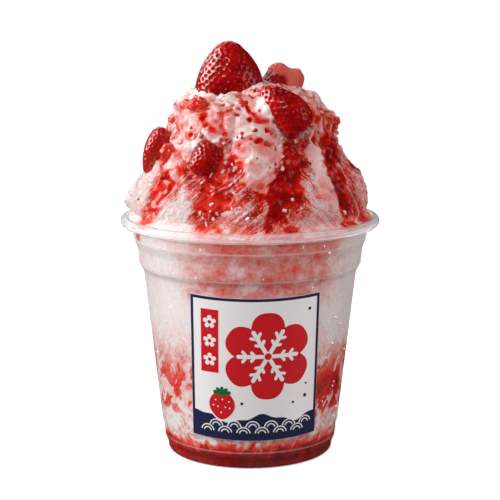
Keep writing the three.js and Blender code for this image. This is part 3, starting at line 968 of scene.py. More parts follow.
@dataclass(frozen=True)
class Strawberry:
    """A strawberry from its stem end to its tip, whole or halved along its length."""

    node: str
    stem: Point
    tip: Point
    radius: float
    cut: Point | None = None
    tone: float = 0.5
    seed_gap: float = 2.45
    flesh: float = 1.0
    blend: float = 0.5
    edge: float = 0.9
    dome: float = 0.0
    hulled: float = 0.0
    flesh_plane: tuple[Point, float] | None = None
    dents: tuple[tuple[Point, float, float], ...] = ()
    seed_tone: float = 1.0
    rows: int = 130
    columns: int = 180

    def axes(self) -> tuple[Array, Array, Array, float]:
        """Two directions across it, its own direction from stem to tip, and its length."""
        run = np.array(self.tip) - np.array(self.stem)
        length = float(np.linalg.norm(run))
        along = run / length
        across = np.cross(along, [0.3, 0.2, 0.93])
        across /= np.linalg.norm(across)
        return across, np.cross(along, across), along, length

    def outline(self) -> Array:
        """Its outline as (distance from the stem, radius), at even steps."""
        length = self.axes()[3]
        return smooth_line([(a * length, r * self.radius) for a, r in BERRY_OUTLINE], self.rows)

    def facing(self) -> Array:
        """The way its cut face looks."""
        along = self.axes()[2]
        facing = np.array(self.cut) - along * np.dot(self.cut, along)
        return facing / np.linalg.norm(facing)

    def outside(self, points: Array) -> Array:
        """How far each point is outside it, about; below 0 inside.

        Args:
            points: places, one a row.

        Returns:
            One distance for each place.
        """
        local = points - np.array(self.stem)
        along = self.axes()[2]
        height = local @ along
        reach = np.linalg.norm(local - height[:, None] * along, axis=1)
        line = self.outline()[8:]
        body = np.interp(height, line[:, 0], line[:, 1], left=0, right=0)
        past = np.maximum(np.maximum(-height, height - line[-1, 0]), 0)
        distance = np.hypot(reach - body, past) * np.where((reach < body) & (past == 0), -1, 1)
        if self.cut is not None:
            distance = np.maximum(distance, local @ self.facing())
        return distance

    def seeds(self) -> tuple[Array, Array]:
        """Where its seeds sit on the smooth skin, evenly spread in a spiral, and the way each looks."""
        line = self.outline()
        along_line = np.arange(len(line)) * np.linalg.norm(line[1] - line[0])
        ring_area = 2 * np.pi * line[:, 1] * np.gradient(along_line)
        total = np.cumsum(ring_area)
        count = int(total[-1] / (self.seed_gap**2 * 0.87))
        row = np.interp((np.arange(count) + 0.5) / count * total[-1], total, np.arange(len(line)))
        keep = row > 20
        random = np.random.default_rng(3)
        turn = (np.arange(count) * np.pi * (3 - math.sqrt(5)) + random.normal(0, 0.02, count))[keep]
        row = (row + random.normal(0, 0.8, count))[keep]
        run = np.gradient(line, axis=0)
        pick = [np.interp(row, np.arange(len(line)), column) for column in (*line.T, *run.T)]
        height, reach, d_height, d_reach = pick
        a, b, along, _ = self.axes()
        out = np.cos(turn)[:, None] * a + np.sin(turn)[:, None] * b
        places = np.array(self.stem) + height[:, None] * along + reach[:, None] * out
        normals = d_height[:, None] * out - d_reach[:, None] * along
        return places, unit(normals)

    def surface(self) -> Surface:
        """The dimpled skin, flattened where it is cut, and darker in its dimples as painted shade."""
        line = self.outline()
        a, b, along, _ = self.axes()
        turn = np.linspace(0, 2 * np.pi, self.columns, endpoint=False)
        out = np.cos(turn)[:, None] * a + np.sin(turn)[:, None] * b
        run = np.gradient(line, axis=0)
        height, reach, d_height, d_reach = (n[1:-1, None, None] for n in (*line.T, *run.T))
        places = np.array(self.stem) + height * along + reach * out
        normals = unit(d_height * out - d_reach * along)
        flat, normal = places.reshape(-1, 3), normals.reshape(-1, 3)
        centres, _ = self.seeds()
        nearest, depth = np.full(len(flat), 9.0), np.zeros(len(flat))
        gap = self.seed_gap
        for centre in centres:
            away = np.linalg.norm(flat - centre, axis=1)
            nearest = np.minimum(nearest, away)
            deepest = 0.4 + 0.1 * abs(math.sin(40 * centre[0] + 17 * centre[2]))
            depth = np.maximum(depth, deepest * np.clip(1 - away / (0.58 * gap), 0, 1) ** 2)
        raised = -depth + 0.3 * noise(flat, 6) - 0.05
        surface = closed_rings(
            np.array(self.stem) + line[0, 0] * along,
            (flat + raised[:, None] * normal).reshape(places.shape),
            np.array(self.tip) - 0.1 * along,
        )
        surface.faces = [face[::-1] for face in surface.faces]
        surface = self.dress(surface)
        pit = step(0.42 * gap, 0.2 * gap, nearest)
        # Painted shade: the skin is made darker in its dimples.
        surface.values["tone"][1:-1] -= 0.2 * pit
        surface.values["pit"] = np.concatenate([[0], pit, [0]])
        return surface

    def dress(self, surface: Surface) -> Surface:
        """The surface cut flat where it is halved, with the numbers that its finish reads.

        Args:
            surface: the whole berry, which is changed.

        Returns:
            The same surface.
        """
        along, length = self.axes()[2:]
        points = surface.points
        local = points - np.array(self.stem)
        height = (local @ along) / length
        flesh, core = np.zeros(len(points)), np.zeros(len(points))
        if self.cut is not None:
            facing = self.facing()
            past = local @ facing
            level = 0.25 * noise(points, 4) + 0.08 * noise(points, 1.4) - 0.1
            over = past - level
            torn = noise(points, 3)
            side_on = over
            if self.flesh_plane is not None:
                way, offset = self.flesh_plane
                side_on = local @ np.array(way) + offset
            flesh = step(-self.blend, 0.4 * self.blend, side_on + 0.7 * self.blend * torn) * self.flesh
            flesh = np.maximum(flesh, step(self.hulled, 0.7 * self.hulled - 0.01, height + 0.06 * torn))
            softened = (over + np.sqrt(over**2 + self.edge**2)) / 2
            points -= (1 - self.dome) * np.maximum(softened, 0)[:, None] * facing
            side = np.cross(along, facing)
            spread = np.abs(local @ side) / self.radius
            core = 0.4 * step(0.9, 0.1, spread + 0.25 * np.abs(height - 0.45))
        for place, width, depth in self.dents:
            away = np.array(place) - (np.array(self.stem) + np.array(self.tip)) / 2
            near = hump(points, place, width)
            points -= (depth * near)[:, None] * away / np.linalg.norm(away)
        tone = self.tone + 0.35 * step(0.75, 1.0, height) + 0.15 * noise(points, 6)
        surface.values = {"flesh": flesh, "core": core, "tone": np.clip(tone, 0, 1)}
        return surface

    def seed_surface(self) -> Surface:
        """Its seeds: small drops lying in the dimples, pointed ends towards the stem."""
        places, normals = self.seeds()
        along = self.axes()[2]
        if self.cut is not None:
            keep = (places - np.array(self.stem)) @ self.facing() < -0.5
            places, normals = places[keep], normals[keep]
        shown = np.abs(corner_value(*(70 * places.T))) > 0.3
        places, normals = places[shown], normals[shown]
        polar = np.linspace(0.25, np.pi - 0.25, SEED_RINGS)
        turn = np.linspace(0, 2 * np.pi, SEED_COLUMNS, endpoint=False)
        parts = []
        for place, normal in zip(places, normals):
            length_way = along - normal * (along @ normal)
            length_way /= np.linalg.norm(length_way)
            side = np.cross(normal, length_way)
            slim = 0.2 * np.sin(polar) * (1 + 0.3 * np.cos(polar))
            around = np.cos(turn)[None, :, None] * side + 0.7 * np.sin(turn)[None, :, None] * normal
            body = 0.36 * np.cos(polar)[:, None, None] * length_way + slim[:, None, None] * around
            centre = place - 0.38 * normal
            part = closed_rings(centre + 0.4 * length_way, centre + body, centre - 0.4 * length_way)
            chance = abs(float(corner_value(*(100 * place)[:, None])[0]))
            part.values["tone"] = np.full(len(part.points), self.seed_tone * chance)
            parts.append(part)
        return joined(parts)

    def make(self, skin: bpy.types.Material, husk: bpy.types.Material) -> None:
        """Builds the berry and its seeds.

        Args:
            skin: the finish of skin and flesh.
            husk: the finish of the seeds.
        """
        piece = settle(self.surface().build(self.node + "_skin", [skin]), "strawberry", self.node)
        seeds = settle(self.seed_surface().build(self.node + "_seeds", [husk]), "strawberry")
        log.debug("%s carries %s", piece.name, seeds.name)


@dataclass(frozen=True)
class Chunk:
    """A rough chunk of crushed strawberry."""

    node: str
    centre: Point
    radii: Point
    turn: float
    flesh: float = 0.03
    tone: float = 0.95

    def surface(self) -> Surface:
        """A ball pulled to its size and broken up by lumps of several sizes."""
        points, faces = unit_ball(5)
        lumps = points + np.array(self.centre)
        size = 0.97 + 0.16 * noise(lumps, 0.7) + 0.2 * noise(lumps, 0.36) + 0.08 * noise(lumps, 0.15)
        c, s = math.cos(math.radians(self.turn)), math.sin(math.radians(self.turn))
        spin = np.array([[c, -s, 0], [s, c, 0], [0, 0, 1]])
        placed = (points * size[:, None] * np.array(self.radii)) @ spin.T + np.array(self.centre)
        count = len(placed)
        core = step(0.0, 0.6, noise(placed, 1.5))
        values = {"flesh": np.full(count, self.flesh), "core": core, "tone": np.full(count, self.tone)}
        return Surface(placed, faces, values)

    def make(self, skin: bpy.types.Material) -> None:
        """Builds the chunk."""
        settle(self.surface().build(self.node + "_flesh", [skin]), "strawberry", self.node)


BACK_DENTS: tuple[tuple[Point, float, float], ...] = (
    *(((15.9, y, 147), 2.6, 2.0) for y in (3, 8, 13, 18)),
    *(((3.5, y, 145.5), 4.2, 1.4) for y in (6, 13, 20)),
    *(((22.5, y, 145.5), 3.2, 1.6) for y in (6, 12, 18)),
)
BERRIES: tuple[Strawberry, ...] = (
    Strawberry("strawberry_top", (-7.1, 0.6, 128), (-8.2, -1, 156.3), 13.2, rows=200, columns=280),
    Strawberry(
        "strawberry_front_right",
        stem=(19.5, -25.4, 125), tip=(4.2, -21.4, 140.6), radius=7.6, seed_gap=2.3, rows=150, columns=200,
    ),
    Strawberry(
        "strawberry_back",
        stem=(16.9, 11, 145.6), tip=(10.7, 13, 126), radius=10.7, cut=(0.8, -0.55, 0.2), tone=0.6,
        seed_gap=2.9, blend=1.6, edge=3.2, dome=0.15, hulled=0.2, flesh_plane=((0.93, 0.05, 0.3), -0.6),
        dents=BACK_DENTS, seed_tone=0.2,
    ),
    Strawberry(
        "strawberry_front_left",
        stem=(-10.8, -23, 118), tip=(-20.2, -34.8, 111.8), radius=6.9,
        tone=0.6, seed_gap=1.9, seed_tone=0.4,
    ),
    Strawberry(
        "strawberry_left",
        stem=(-29.6, -8, 123.5), tip=(-38.6, -10.5, 107.5), radius=6, cut=(0.8, -0.6, 0.2), tone=0.9,
        seed_gap=2.1, flesh=0.1, edge=1.4, dome=0.6, rows=100, columns=140,
    ),
)
CHUNKS: tuple[Chunk, ...] = (
    Chunk("strawberry_chunk_upper", (-18.7, -17, 133.3), (4.2, 3.6, 3.1), 40),
    Chunk("strawberry_chunk_left", (-29.8, -19.6, 115.6), (3.4, 3.2, 4.2), -50),
)


# ---- The mound ----

MOUND_OUTLINE: tuple[Pair, ...] = (
    (43.9, 91.5), (44, 95), (43, 99), (40.6, 104), (38.3, 108), (36, 112), (33.6, 116), (31.6, 120),
    (30, 124), (28.2, 128), (25.9, 132), (23, 134.7), (18.5, 136.4), (11, 137.4), (0, 137.6),
)


@dataclass(frozen=True)
class Lump:
    """A bulge or hollow of the heap: where it is, how wide and how high."""

    azimuth: float
    z: float
    width: float
    height: float


@dataclass(frozen=True)
class Run:
    """A tongue of milk or syrup over the heap: half its width, and its line as (azimuth, height) points."""

    half_width: float
    line: tuple[Pair, ...]


LUMPS: tuple[Lump, ...] = (
    Lump(-88, 95, 5.5, 2.2), Lump(-70, 107, 6, -1), Lump(-84, 133, 3.5, 1.4), Lump(-84, 128.5, 3.5, -4.4),
    Lump(-40, 136.5, 9, -2.6), Lump(-28, 125, 6, 1.2), Lump(6, 126, 7, 1.8), Lump(20, 137, 6, 1.6),
    Lump(4, 113, 6, 1.2), Lump(-38, 107, 7, 1.3), Lump(24, 114, 5, 1.4), Lump(84, 130.5, 5, -4.6),
    Lump(88, 125, 6, 3), Lump(72, 118, 5, 1), Lump(90, 109, 6, 0.8), Lump(62, 106, 6, 0.8),
    Lump(140, 126, 8, 2), Lump(172, 110, 9, 1.8), Lump(205, 125, 8, 1.6), Lump(228, 103, 9, 1.6),
)
MILK_RUNS: tuple[Run, ...] = (
    Run(8, ((3, 136), (3, 125), (1, 118))), Run(7, ((-48, 134), (-54, 122), (-48, 113))),
    Run(6, ((-22, 134), (-20, 124))), Run(4, ((46, 136), (50, 124), (46, 112), (42, 100))),
    Run(6, ((75, 134), (72, 124))), Run(6, ((112, 134), (116, 120), (112, 108))),
    Run(7, ((150, 134), (146, 122))), Run(6, ((186, 134), (190, 118), (186, 103))),
    Run(7, ((226, 134), (222, 121), (226, 112))), Run(6, ((264, 134), (262, 120))),
)
SYRUP_RUNS: tuple[Run, ...] = (
    Run(6.5, ((-22, 113), (-15, 109), (-17, 102), (-19, 92))), Run(3, ((-4, 117), (-10, 109))),
    Run(8, ((30, 117), (21, 109), (17, 103))), Run(5.5, ((17, 103), (14, 96), (16, 88))),
    Run(3.5, ((14, 105), (3, 104))), Run(5.5, ((64, 117), (50, 107), (54, 94))),
    Run(4.5, ((-47, 109), (-50, 101), (-60, 90))), Run(4.5, ((82, 131), (78, 124), (70, 114))),
    Run(5, ((98, 114), (94, 102), (98, 92))), Run(6, ((132, 119), (136, 106), (130, 93))),
    Run(5, ((168, 116), (160, 106), (164, 96))), Run(6, ((208, 118), (206, 104), (212, 92))),
    Run(5, ((244, 116), (246, 104), (240, 96))),
)
SOAKED: tuple[Run, ...] = (
    Run(6, ((-8, 106), (-2, 99), (4, 93))), Run(5, ((74, 108), (66, 98), (72, 92))),
)
MILK_FILMS: tuple[Run, ...] = (
    Run(5.5, ((0, 122), (3, 113), (2, 107))), Run(3.5, ((-38, 117), (-46, 112))),
)
TRICKLES: tuple[Run, ...] = (
    Run(4.2, ((-37, 112), (-28, 107), (-17, 109), (-12, 114))),
    Run(3.4, ((-74, 122), (-64, 114), (-52, 109))), Run(1.7, ((-34, 132), (-28, 127), (-22, 122))),
    Run(1.0, ((-19, 134), (-17, 131))), Run(1.2, ((0, 134), (5, 131), (9, 129))),
    Run(1.4, ((5, 122), (7, 119))), Run(1.4, ((-63, 131), (-58, 126), (-60, 120))),
    Run(1.8, ((-4, 117), (-8, 112))), Run(2.2, ((56, 132), (61, 123), (57, 114))),
    Run(2.6, ((77, 133), (71, 124), (70, 112))), Run(2.0, ((88, 130), (84, 119), (86, 108))),
    Run(1.8, ((49, 128), (52, 118))), Run(2.4, ((66, 120), (70, 110), (68, 100))),
    Run(1.6, ((124, 130), (126, 120))), Run(1.8, ((172, 132), (168, 121), (170, 112))),
    Run(1.5, ((204, 133), (208, 124))), Run(1.6, ((244, 132), (242, 121))),
    Run(1.4, ((288, 131), (286, 122))),
)


@dataclass(frozen=True)
class Marks:
    """What lies at each point of the heap, as shares from 0 to 1, and the torn places its edges follow.

    right and high say how much a point lies at the heap's right side and near its crown; the right side is
    painted redder, partly for its stains and partly as painted shade.
    """

    torn: Array
    milk: Array
    syrup: Array
    halo: Array
    ice: Array
    strands: Array
    pebbles: Array
    pits: Array
    soaked: Array
    collar: Array
    jelly: Array
    trickle: Array
    rim: Array
    right: Array
    high: Array


@dataclass(frozen=True)
class Heap:
    """The shaved ice that rises from the cup, with milk and syrup on it."""

    cup: Cup
    crown_z: float = 129.0
    crown_fade: float = 5.0
    milk_height: float = 1.5
    syrup_depth: float = 1.0
    columns: int = 500
    rows: int = 168
    hem: tuple[float, ...] = (88.5, 89.3, 90.1, 90.8)
    strand_angles: Pair = (40.0, -50.0)
    collar_width: float = 1.4
    hollow: Point = (-18, -9, 130)
    hollow_width: float = 6.0
    hollow_depth: float = 2.8
    foot_columns: int = 460
    foot_row_height: float = 0.56
    foot_top: float = 88.6

    def grid_rows(self) -> int:
        """How many rings of points the free surface has."""
        return self.rows + len(self.hem)

    def on_outline(self, azimuth: float, z: float) -> Array:
        """The point of the smooth heap at an azimuth and a height.

        Args:
            azimuth: where round the heap.
            z: the height.

        Returns:
            The place.
        """
        radius, height = np.array(MOUND_OUTLINE).T
        if z < height[0]:
            slope = (radius[1] - radius[0]) / (height[1] - height[0])
            return at(azimuth, radius[0] + slope * (z - height[0]), z)
        return at(azimuth, np.interp(z, height, radius), z)

    def run_ratio(self, points: Array, runs: Iterable[Run]) -> Array:
        """How far each point is from the nearest run's line, as a share of that run's half width.

        Args:
            points: places, one a row.
            runs: the runs to measure from.

        Returns:
            0 on a run's line, 1 at its side, more beyond.
        """
        best = np.full(len(points), 99.0)
        for run in runs:
            ends = [self.on_outline(azimuth, z) for azimuth, z in run.line]
            for start, end in zip(ends, ends[1:]):
                way = end - start
                share = np.clip((points - start) @ way / (way @ way), 0, 1)
                distance = np.linalg.norm(points - start - share[:, None] * way, axis=1)
                best = np.minimum(best, distance / run.half_width)
        return best

    def relief(self, points: Array) -> Array:
        """How far ice, milk and syrup stand out from the smooth heap, as its solid has it."""
        crown = step(self.crown_z - self.crown_fade, self.crown_z, points[:, 2] + 1.2 * noise(points, 5))
        milk_cover = np.maximum(0, 1 - self.run_ratio(points, MILK_RUNS) ** 2)
        syrup_cover = np.maximum(0, 1 - self.run_ratio(points, SYRUP_RUNS) ** 2)
        milk = np.maximum(crown, np.sqrt(milk_cover))
        syrup = (1 - milk) * np.sqrt(syrup_cover)
        total = 1.5 * noise(points, 15) + 1.3 * noise(points, 7.5)
        for lump in LUMPS:
            centre = self.on_outline(lump.azimuth, lump.z)
            total += lump.height * hump(points, centre, lump.width)
        return total + self.milk_height * milk - self.syrup_depth * syrup

    def shares(self, points: Array) -> tuple[Array, Array, Array]:
        """How much milk and syrup lie at each point, with torn edges, and how near syrup is.

        Args:
            points: places on the smooth heap.

        Returns:
            The shares of milk and of syrup from 0 to 1, and a halo round the syrup.
        """
        torn = warp(warp(points, 8, 3.2), 3, 1.6)
        fine = noise(points, 2.2)
        azimuth = azimuth_of(points)
        narrow = 1 + 0.5 * step(104, 94, points[:, 2])
        narrow += 0.5 * step(105, 110, points[:, 2]) * step(6, 12, azimuth) * step(46, 40, azimuth)
        crown = step(self.crown_z - 6, self.crown_z + 1, torn[:, 2])
        milk = step(1.02, 0.78, self.run_ratio(torn, MILK_RUNS) + 0.15 * fine)
        milk = np.maximum(milk, 0.85 * step(1.1, 0.8, self.run_ratio(torn, MILK_FILMS) + 0.2 * fine))
        milk = np.maximum(milk, crown)
        ratio = self.run_ratio(torn, SYRUP_RUNS) * narrow
        syrup = step(1.16, 0.9, ratio + 0.22 * fine) * (1 - milk)
        low = step(98, 94, torn[:, 2] + 3 * step(8, 14, azimuth_of(torn)) * step(26, 20, azimuth_of(torn)))
        syrup *= 1 - 0.9 * low
        return milk, syrup, step(2.6, 0.8, ratio)

    def leftwards(self, points: Array) -> Array:
        """Where strands run down to the left, 1, and where down to the right, 0."""
        azimuth = azimuth_of(points)
        right = step(18, 34, azimuth) * step(112, 84, azimuth)
        far = step(120, 150, np.abs(azimuth)) * step(-0.2, 0.2, noise(points, 22))
        return 1 - np.maximum(right, far)

    def lay(self, points: Array) -> tuple[Array, Array]:
        """How far each point is along and across the way its strands lie, in millimetres."""
        bent = warp(points, 15, 2.4)
        across, z = np.radians(azimuth_of(bent)) * GRAIN_RADIUS, bent[:, 2]
        left = self.leftwards(points) > 0.5
        angle = np.radians(np.where(left, *self.strand_angles))
        c, s = np.cos(angle), np.sin(angle)
        return c * across + s * z, -s * across + c * z

    def strand_field(self, points: Array) -> Array:
        """Ridges of shaved ice that lie in slanting strands, from 0 to 1."""
        bent = warp(points, 15, 2.4)
        across, z = np.radians(azimuth_of(bent)) * GRAIN_RADIUS, bent[:, 2]
        left = self.leftwards(points)
        total = np.zeros(len(points))
        for angle, weight in zip(self.strand_angles, (left, 1 - left)):
            c, s = math.cos(math.radians(angle)), math.sin(math.radians(angle))
            along, athwart = c * across + s * z, -s * across + c * z
            for size, share in ((2.6, 0.5), (1.3, 0.5)):
                streaks = np.stack([along / 7, athwart, np.full_like(across, angle)], axis=-1)
                total += weight * share * (1 - 1.8 * np.abs(noise(streaks, size)))
        return np.clip(0.5 + 0.9 * (total - 0.5), 0, 1)

    def surface(self) -> Surface:
        """The free surface, from just under the rim to the crown."""
        line = smooth_line(MOUND_OUTLINE, self.rows + 1)
        run = np.gradient(line, axis=0)
        azimuths = np.linspace(0, 360, self.columns, endpoint=False)
        base = at(azimuths[None, :], line[:-1, 0][:, None], line[:-1, 1][:, None])
        normal = at(azimuths[None, :], run[:-1, 1][:, None], -run[:-1, 0][:, None])
        points, normal = base.reshape(-1, 3), unit(normal).reshape(-1, 3)
        height, values = self.dress(points)
        fade = step(91.5, 95, points[:, 2])
        rings = (points + (height * fade)[:, None] * normal).reshape(base.shape)
        low = np.stack([at(azimuths, self.cup.inner(np.array(z)), z) for z in self.hem])
        low_values = self.dress(low.reshape(-1, 3))[1]
        top = np.array([[0, 0, line[-1, 1]]])
        top_height, top_values = self.dress(top)
        surface = closed_rings(None, np.concatenate([low, rings]), top + [0, 0, float(top_height[0])])
        surface.values = {k: np.concatenate([low_values[k], v, top_values[k]]) for k, v in values.items()}
        return surface

    def collar(self, points: Array) -> Array:
        """Where milk and ice are pushed up round a berry."""
        collar = np.zeros(len(points))
        for berry in BERRIES:
            outside = berry.outside(points)
            near = np.exp(-((np.maximum(outside, 0) / self.collar_width) ** 2))
            collar = np.maximum(collar, near * (outside > -1.5))
        return collar * step(110, 119, points[:, 2])

    def marks(self, points: Array) -> Marks:
        """Finds what lies at each point of the smooth heap.

        Args:
            points: places on the smooth heap.

        Returns:
            The marks at those places.
        """
        azimuth, z = azimuth_of(points), points[:, 2]
        milk, syrup, halo = self.shares(points)
        pebble, pebble_number = nearest_seed(points, 5.4)
        crumb, crumb_number = nearest_seed(points, 2.6)
        torn = warp(warp(points, 8, 2.6), 3, 1.3)
        right = step(30, 60, azimuth) * step(150, 110, azimuth)
        collar = self.collar(points)
        high = 0.2 + 0.8 * step(116, 124, z)
        jelly = step(0.2, 0.32, noise(warp(points, 4, 2.4), 4.2)) * high * (1 - collar)
        jelly *= 1 - 0.3 * step(0, -20, azimuth) * step(-90, -70, azimuth)
        trickle = step(1.4, 0.5, self.run_ratio(torn, TRICKLES) + 0.3 * noise(points, 1.6))
        trickle *= step(-0.5, 0.1, noise(points, 3))
        edges = self.run_ratio(torn, SYRUP_RUNS) / 1.3 + 0.1 * noise(points, 3)
        rim = np.exp(-(((edges - 1) / 0.1) ** 2)) * (0.6 * step(100, 108, z) * milk + right)
        return Marks(
            torn=torn,
            milk=milk,
            syrup=syrup,
            halo=halo,
            ice=1 - np.maximum(milk, 0.8 * syrup),
            strands=self.strand_field(points),
            pebbles=step(0.62, 0.1, pebble) * (pebble_number > -0.3),
            pits=step(0.5, 0.24, crumb) * (crumb_number > 0.3),
            soaked=np.exp(-(self.run_ratio(torn, SOAKED) ** 2)),
            collar=collar,
            jelly=jelly,
            trickle=trickle,
            rim=np.clip(rim, 0, 1),
            right=right,
            high=high,
        )

    def full_relief(self, points: Array, marks: Marks) -> Array:
        """How far the heap stands out, with its strands, pebbles, pits and torn edges.

        Args:
            points: places on the smooth heap.
            marks: what lies there.

        Returns:
            One height for each place.
        """
        lumpy = marks.milk * (0.3 + 0.7 * step(118, 127, points[:, 2]))
        soft = 0.7 * noise(points, 3.1) + 0.5 * noise(points, 1.5)
        hollow = hump(points, self.hollow, self.hollow_width)
        height = self.relief(points)
        height += marks.ice * (0.8 * (marks.strands - 0.55) + 0.3 * noise(points, 1.6))
        height += (0.12 + 0.88 * lumpy) * (1.1 * marks.pebbles - 0.3) - lumpy * 0.8 * marks.pits
        height += marks.milk * soft + marks.syrup * 0.6 * noise(points, 2.0)
        height += 0.9 * marks.collar * (1 - hollow) - self.hollow_depth * hollow
        height -= 0.3 * marks.milk * marks.jelly
        height -= 0.4 * marks.trickle
        return height + 0.5 * marks.rim

    def ice_red(self, points: Array, marks: Marks) -> Array:
        """How red the ice is: in patches, beside the syrup, and between the strands, where syrup soaks in and
        the low valleys are painted redder as painted shade; redder at the heap's right, partly as painted
        shade.
        """
        azimuth = azimuth_of(points)
        patch = noise(warp(points, 7, 3), 8)
        stained = marks.halo * step(-0.05, 0.12, noise(marks.torn, 2.6) + 0.4 * (marks.halo - 0.6))
        body = 0.14 + 0.14 * patch + 0.14 * marks.halo + 0.08 * noise(points, 3.0)
        # The ice at the heap's right side is made redder, partly for its stains and partly as painted shade.
        body = body + 0.17 * marks.right + 0.26 * stained - 0.16 * step(-56, -70, azimuth)
        body -= 0.13 * step(-26, -32, azimuth) * step(-54, -48, azimuth) * step(112, 106, points[:, 2])
        # Painted shade: the ice between the strands, where the relief is low, is made redder as the pinker
        # shade in the valleys, and more so where syrup soaks in.
        between = (0.26 + 0.2 * marks.soaked) * (0.55 - marks.strands)
        return np.clip(body + 0.25 * marks.soaked + between, 0.05, 0.7)

    def syrup_red(self, points: Array, marks: Marks) -> Array:
        """How red the syrup is, paler along the edges of its runs."""
        azimuth = azimuth_of(points)
        deep = 0.6 + 0.25 * step(-30, 8, azimuth) - 0.1 * step(-36, -44, azimuth) * step(180, 120, azimuth)
        red = deep + 0.22 * noise(points, 5) - 0.12 * step(0.5, 1.1, self.run_ratio(points, SYRUP_RUNS))
        return np.clip(red + 0.16 * noise(marks.torn, 1.6), 0.58, 0.95)

    def milk_red(self, points: Array, marks: Marks) -> Array:
        """How red the milk is: pink in patches, red in its jelly and pits, white round the berries, and
        redder at the heap's right side, partly as painted shade.
        """
        cream = np.clip(0.55 + 1.6 * noise(warp(points, 6, 3), 8), 0, 1)
        # The milk at the heap's right side is made redder, partly as painted shade.
        red = 0.07 + 0.17 * (1 - cream) + 0.1 * marks.pebbles + 0.1 * marks.right
        red += 0.05 * step(122, 116, points[:, 2])
        red += marks.jelly * (0.34 + 0.3 * noise(points, 1.2) - 0.3 * red)
        red += (0.78 - red) * marks.pits * marks.high
        return red * (1 - 0.6 * marks.collar)

    def dress(self, points: Array) -> tuple[Array, dict[str, Array]]:
        """The full relief at points of the smooth heap, and the numbers that the finish reads there.

        Args:
            points: places on the smooth heap.

        Returns:
            One height for each place, and the numbers by name.
        """
        marks = self.marks(points)
        milk, syrup, halo, trickle = marks.milk, marks.syrup, marks.halo, marks.trickle
        dry_red = self.ice_red(points, marks) * (1 - syrup) + syrup * self.syrup_red(points, marks)
        red = milk * self.milk_red(points, marks) + (1 - milk) * dry_red
        # The trickles at the heap's right side are redder, partly as painted shade.
        red += (0.62 + 0.1 * marks.right + 0.25 * noise(marks.torn, 2.2) - red) * trickle
        red -= (red - 0.12) * 0.75 * marks.rim * (red > 0.12)
        wet = np.clip(0.85 * milk + syrup + 0.25 * halo, 0, 1)
        dry = marks.ice * (0.6 + 1.4 * np.maximum(halo * step(92, 99, points[:, 2]), marks.soaked))
        along, across = self.lay(points)
        values = {"red": np.clip(red, 0, 1), "wet": wet, "dry": dry, "lay_along": along, "lay_across": across}
        return self.full_relief(points, marks), values

    def foot(self, filling: Filling) -> Surface:
        """The part of the mound inside the cup, whose side reaches just into the wall."""
        azimuths = np.linspace(0, 360, self.foot_columns, endpoint=False)
        low = filling.edge(SOAKED_TOP, azimuths)
        count = int((self.foot_top - SOAKED_TOP.z) / self.foot_row_height)
        rings = filling.cap(SOAKED_TOP, azimuths) + filling.side(azimuths, low, self.foot_top, count)
        top = np.array([0, 0, self.foot_top])
        return filling.finish_values(closed_rings(SOAKED_TOP.middle(), np.array(rings), top))

    def make(self, free: bpy.types.Material, packed: bpy.types.Material, filling: Filling) -> Surface:
        """Builds the heap and its foot in the cup.

        Args:
            free: the finish of the free surface.
            packed: the finish of the ice at the wall.
            filling: the rest of what fills the cup, whose look the foot shares.

        Returns:
            The free surface, for what is strewn on it.
        """
        surface = self.surface()
        settle(surface.build("ice_heap", [free]), "mound_ice", "ice_mound")
        settle(self.foot(filling).build("ice_heap_foot", [packed], LAYER_CREASE), "mound_ice", "ice_mound")
        return surface


FLAKE_FACES = ((0, 2, 4), (2, 1, 4), (1, 3, 4), (3, 0, 4), (2, 0, 5), (1, 2, 5), (3, 1, 5), (0, 3, 5))


@dataclass(frozen=True)
class Slivers:
    """Loose bits of ice: their middles, their long, wide and thin ways, half their sizes, and their looks."""

    centre: Array
    ways: Array
    sizes: Array
    looks: dict[str, Array]

    def flakes(self, count: int) -> Surface:
        """The first so many, as thin and slightly bent flakes."""
        centre = self.centre[:count]
        long, wide, thin = self.sizes[:, :count] * self.ways[:, :count]
        bend = 0.2 * self.sizes[0, :count] * self.ways[2, :count]
        tips = [centre - long + bend, centre + long + bend]
        corners = [*tips, centre - wide, centre + wide, centre - thin, centre + thin]
        first = len(corners) * np.arange(count)
        faces = (np.array(FLAKE_FACES)[None] + first[:, None, None]).reshape(-1, 3).tolist()
        values = {key: np.repeat(numbers[:count], len(corners)) for key, numbers in self.looks.items()}
        return Surface(np.stack(corners, axis=1).reshape(-1, 3), faces, values)

    def chips(self, first: int) -> Surface:
        """The rest, as blunt and lumpy chips."""
        ball, faces = unit_ball(3)
        ball = np.sign(ball) * np.abs(ball) ** 0.7
        parts = []
        for k in range(first, len(self.centre)):
            lumps = 1 + 0.25 * noise(ball + k, 0.8)
            placed = self.centre[k] + (ball * lumps[:, None] * self.sizes[:, k, 0]) @ self.ways[:, k]
            values = {key: np.full(len(placed), numbers[k]) for key, numbers in self.looks.items()}
            parts.append(Surface(placed, faces, values))
        return joined(parts)


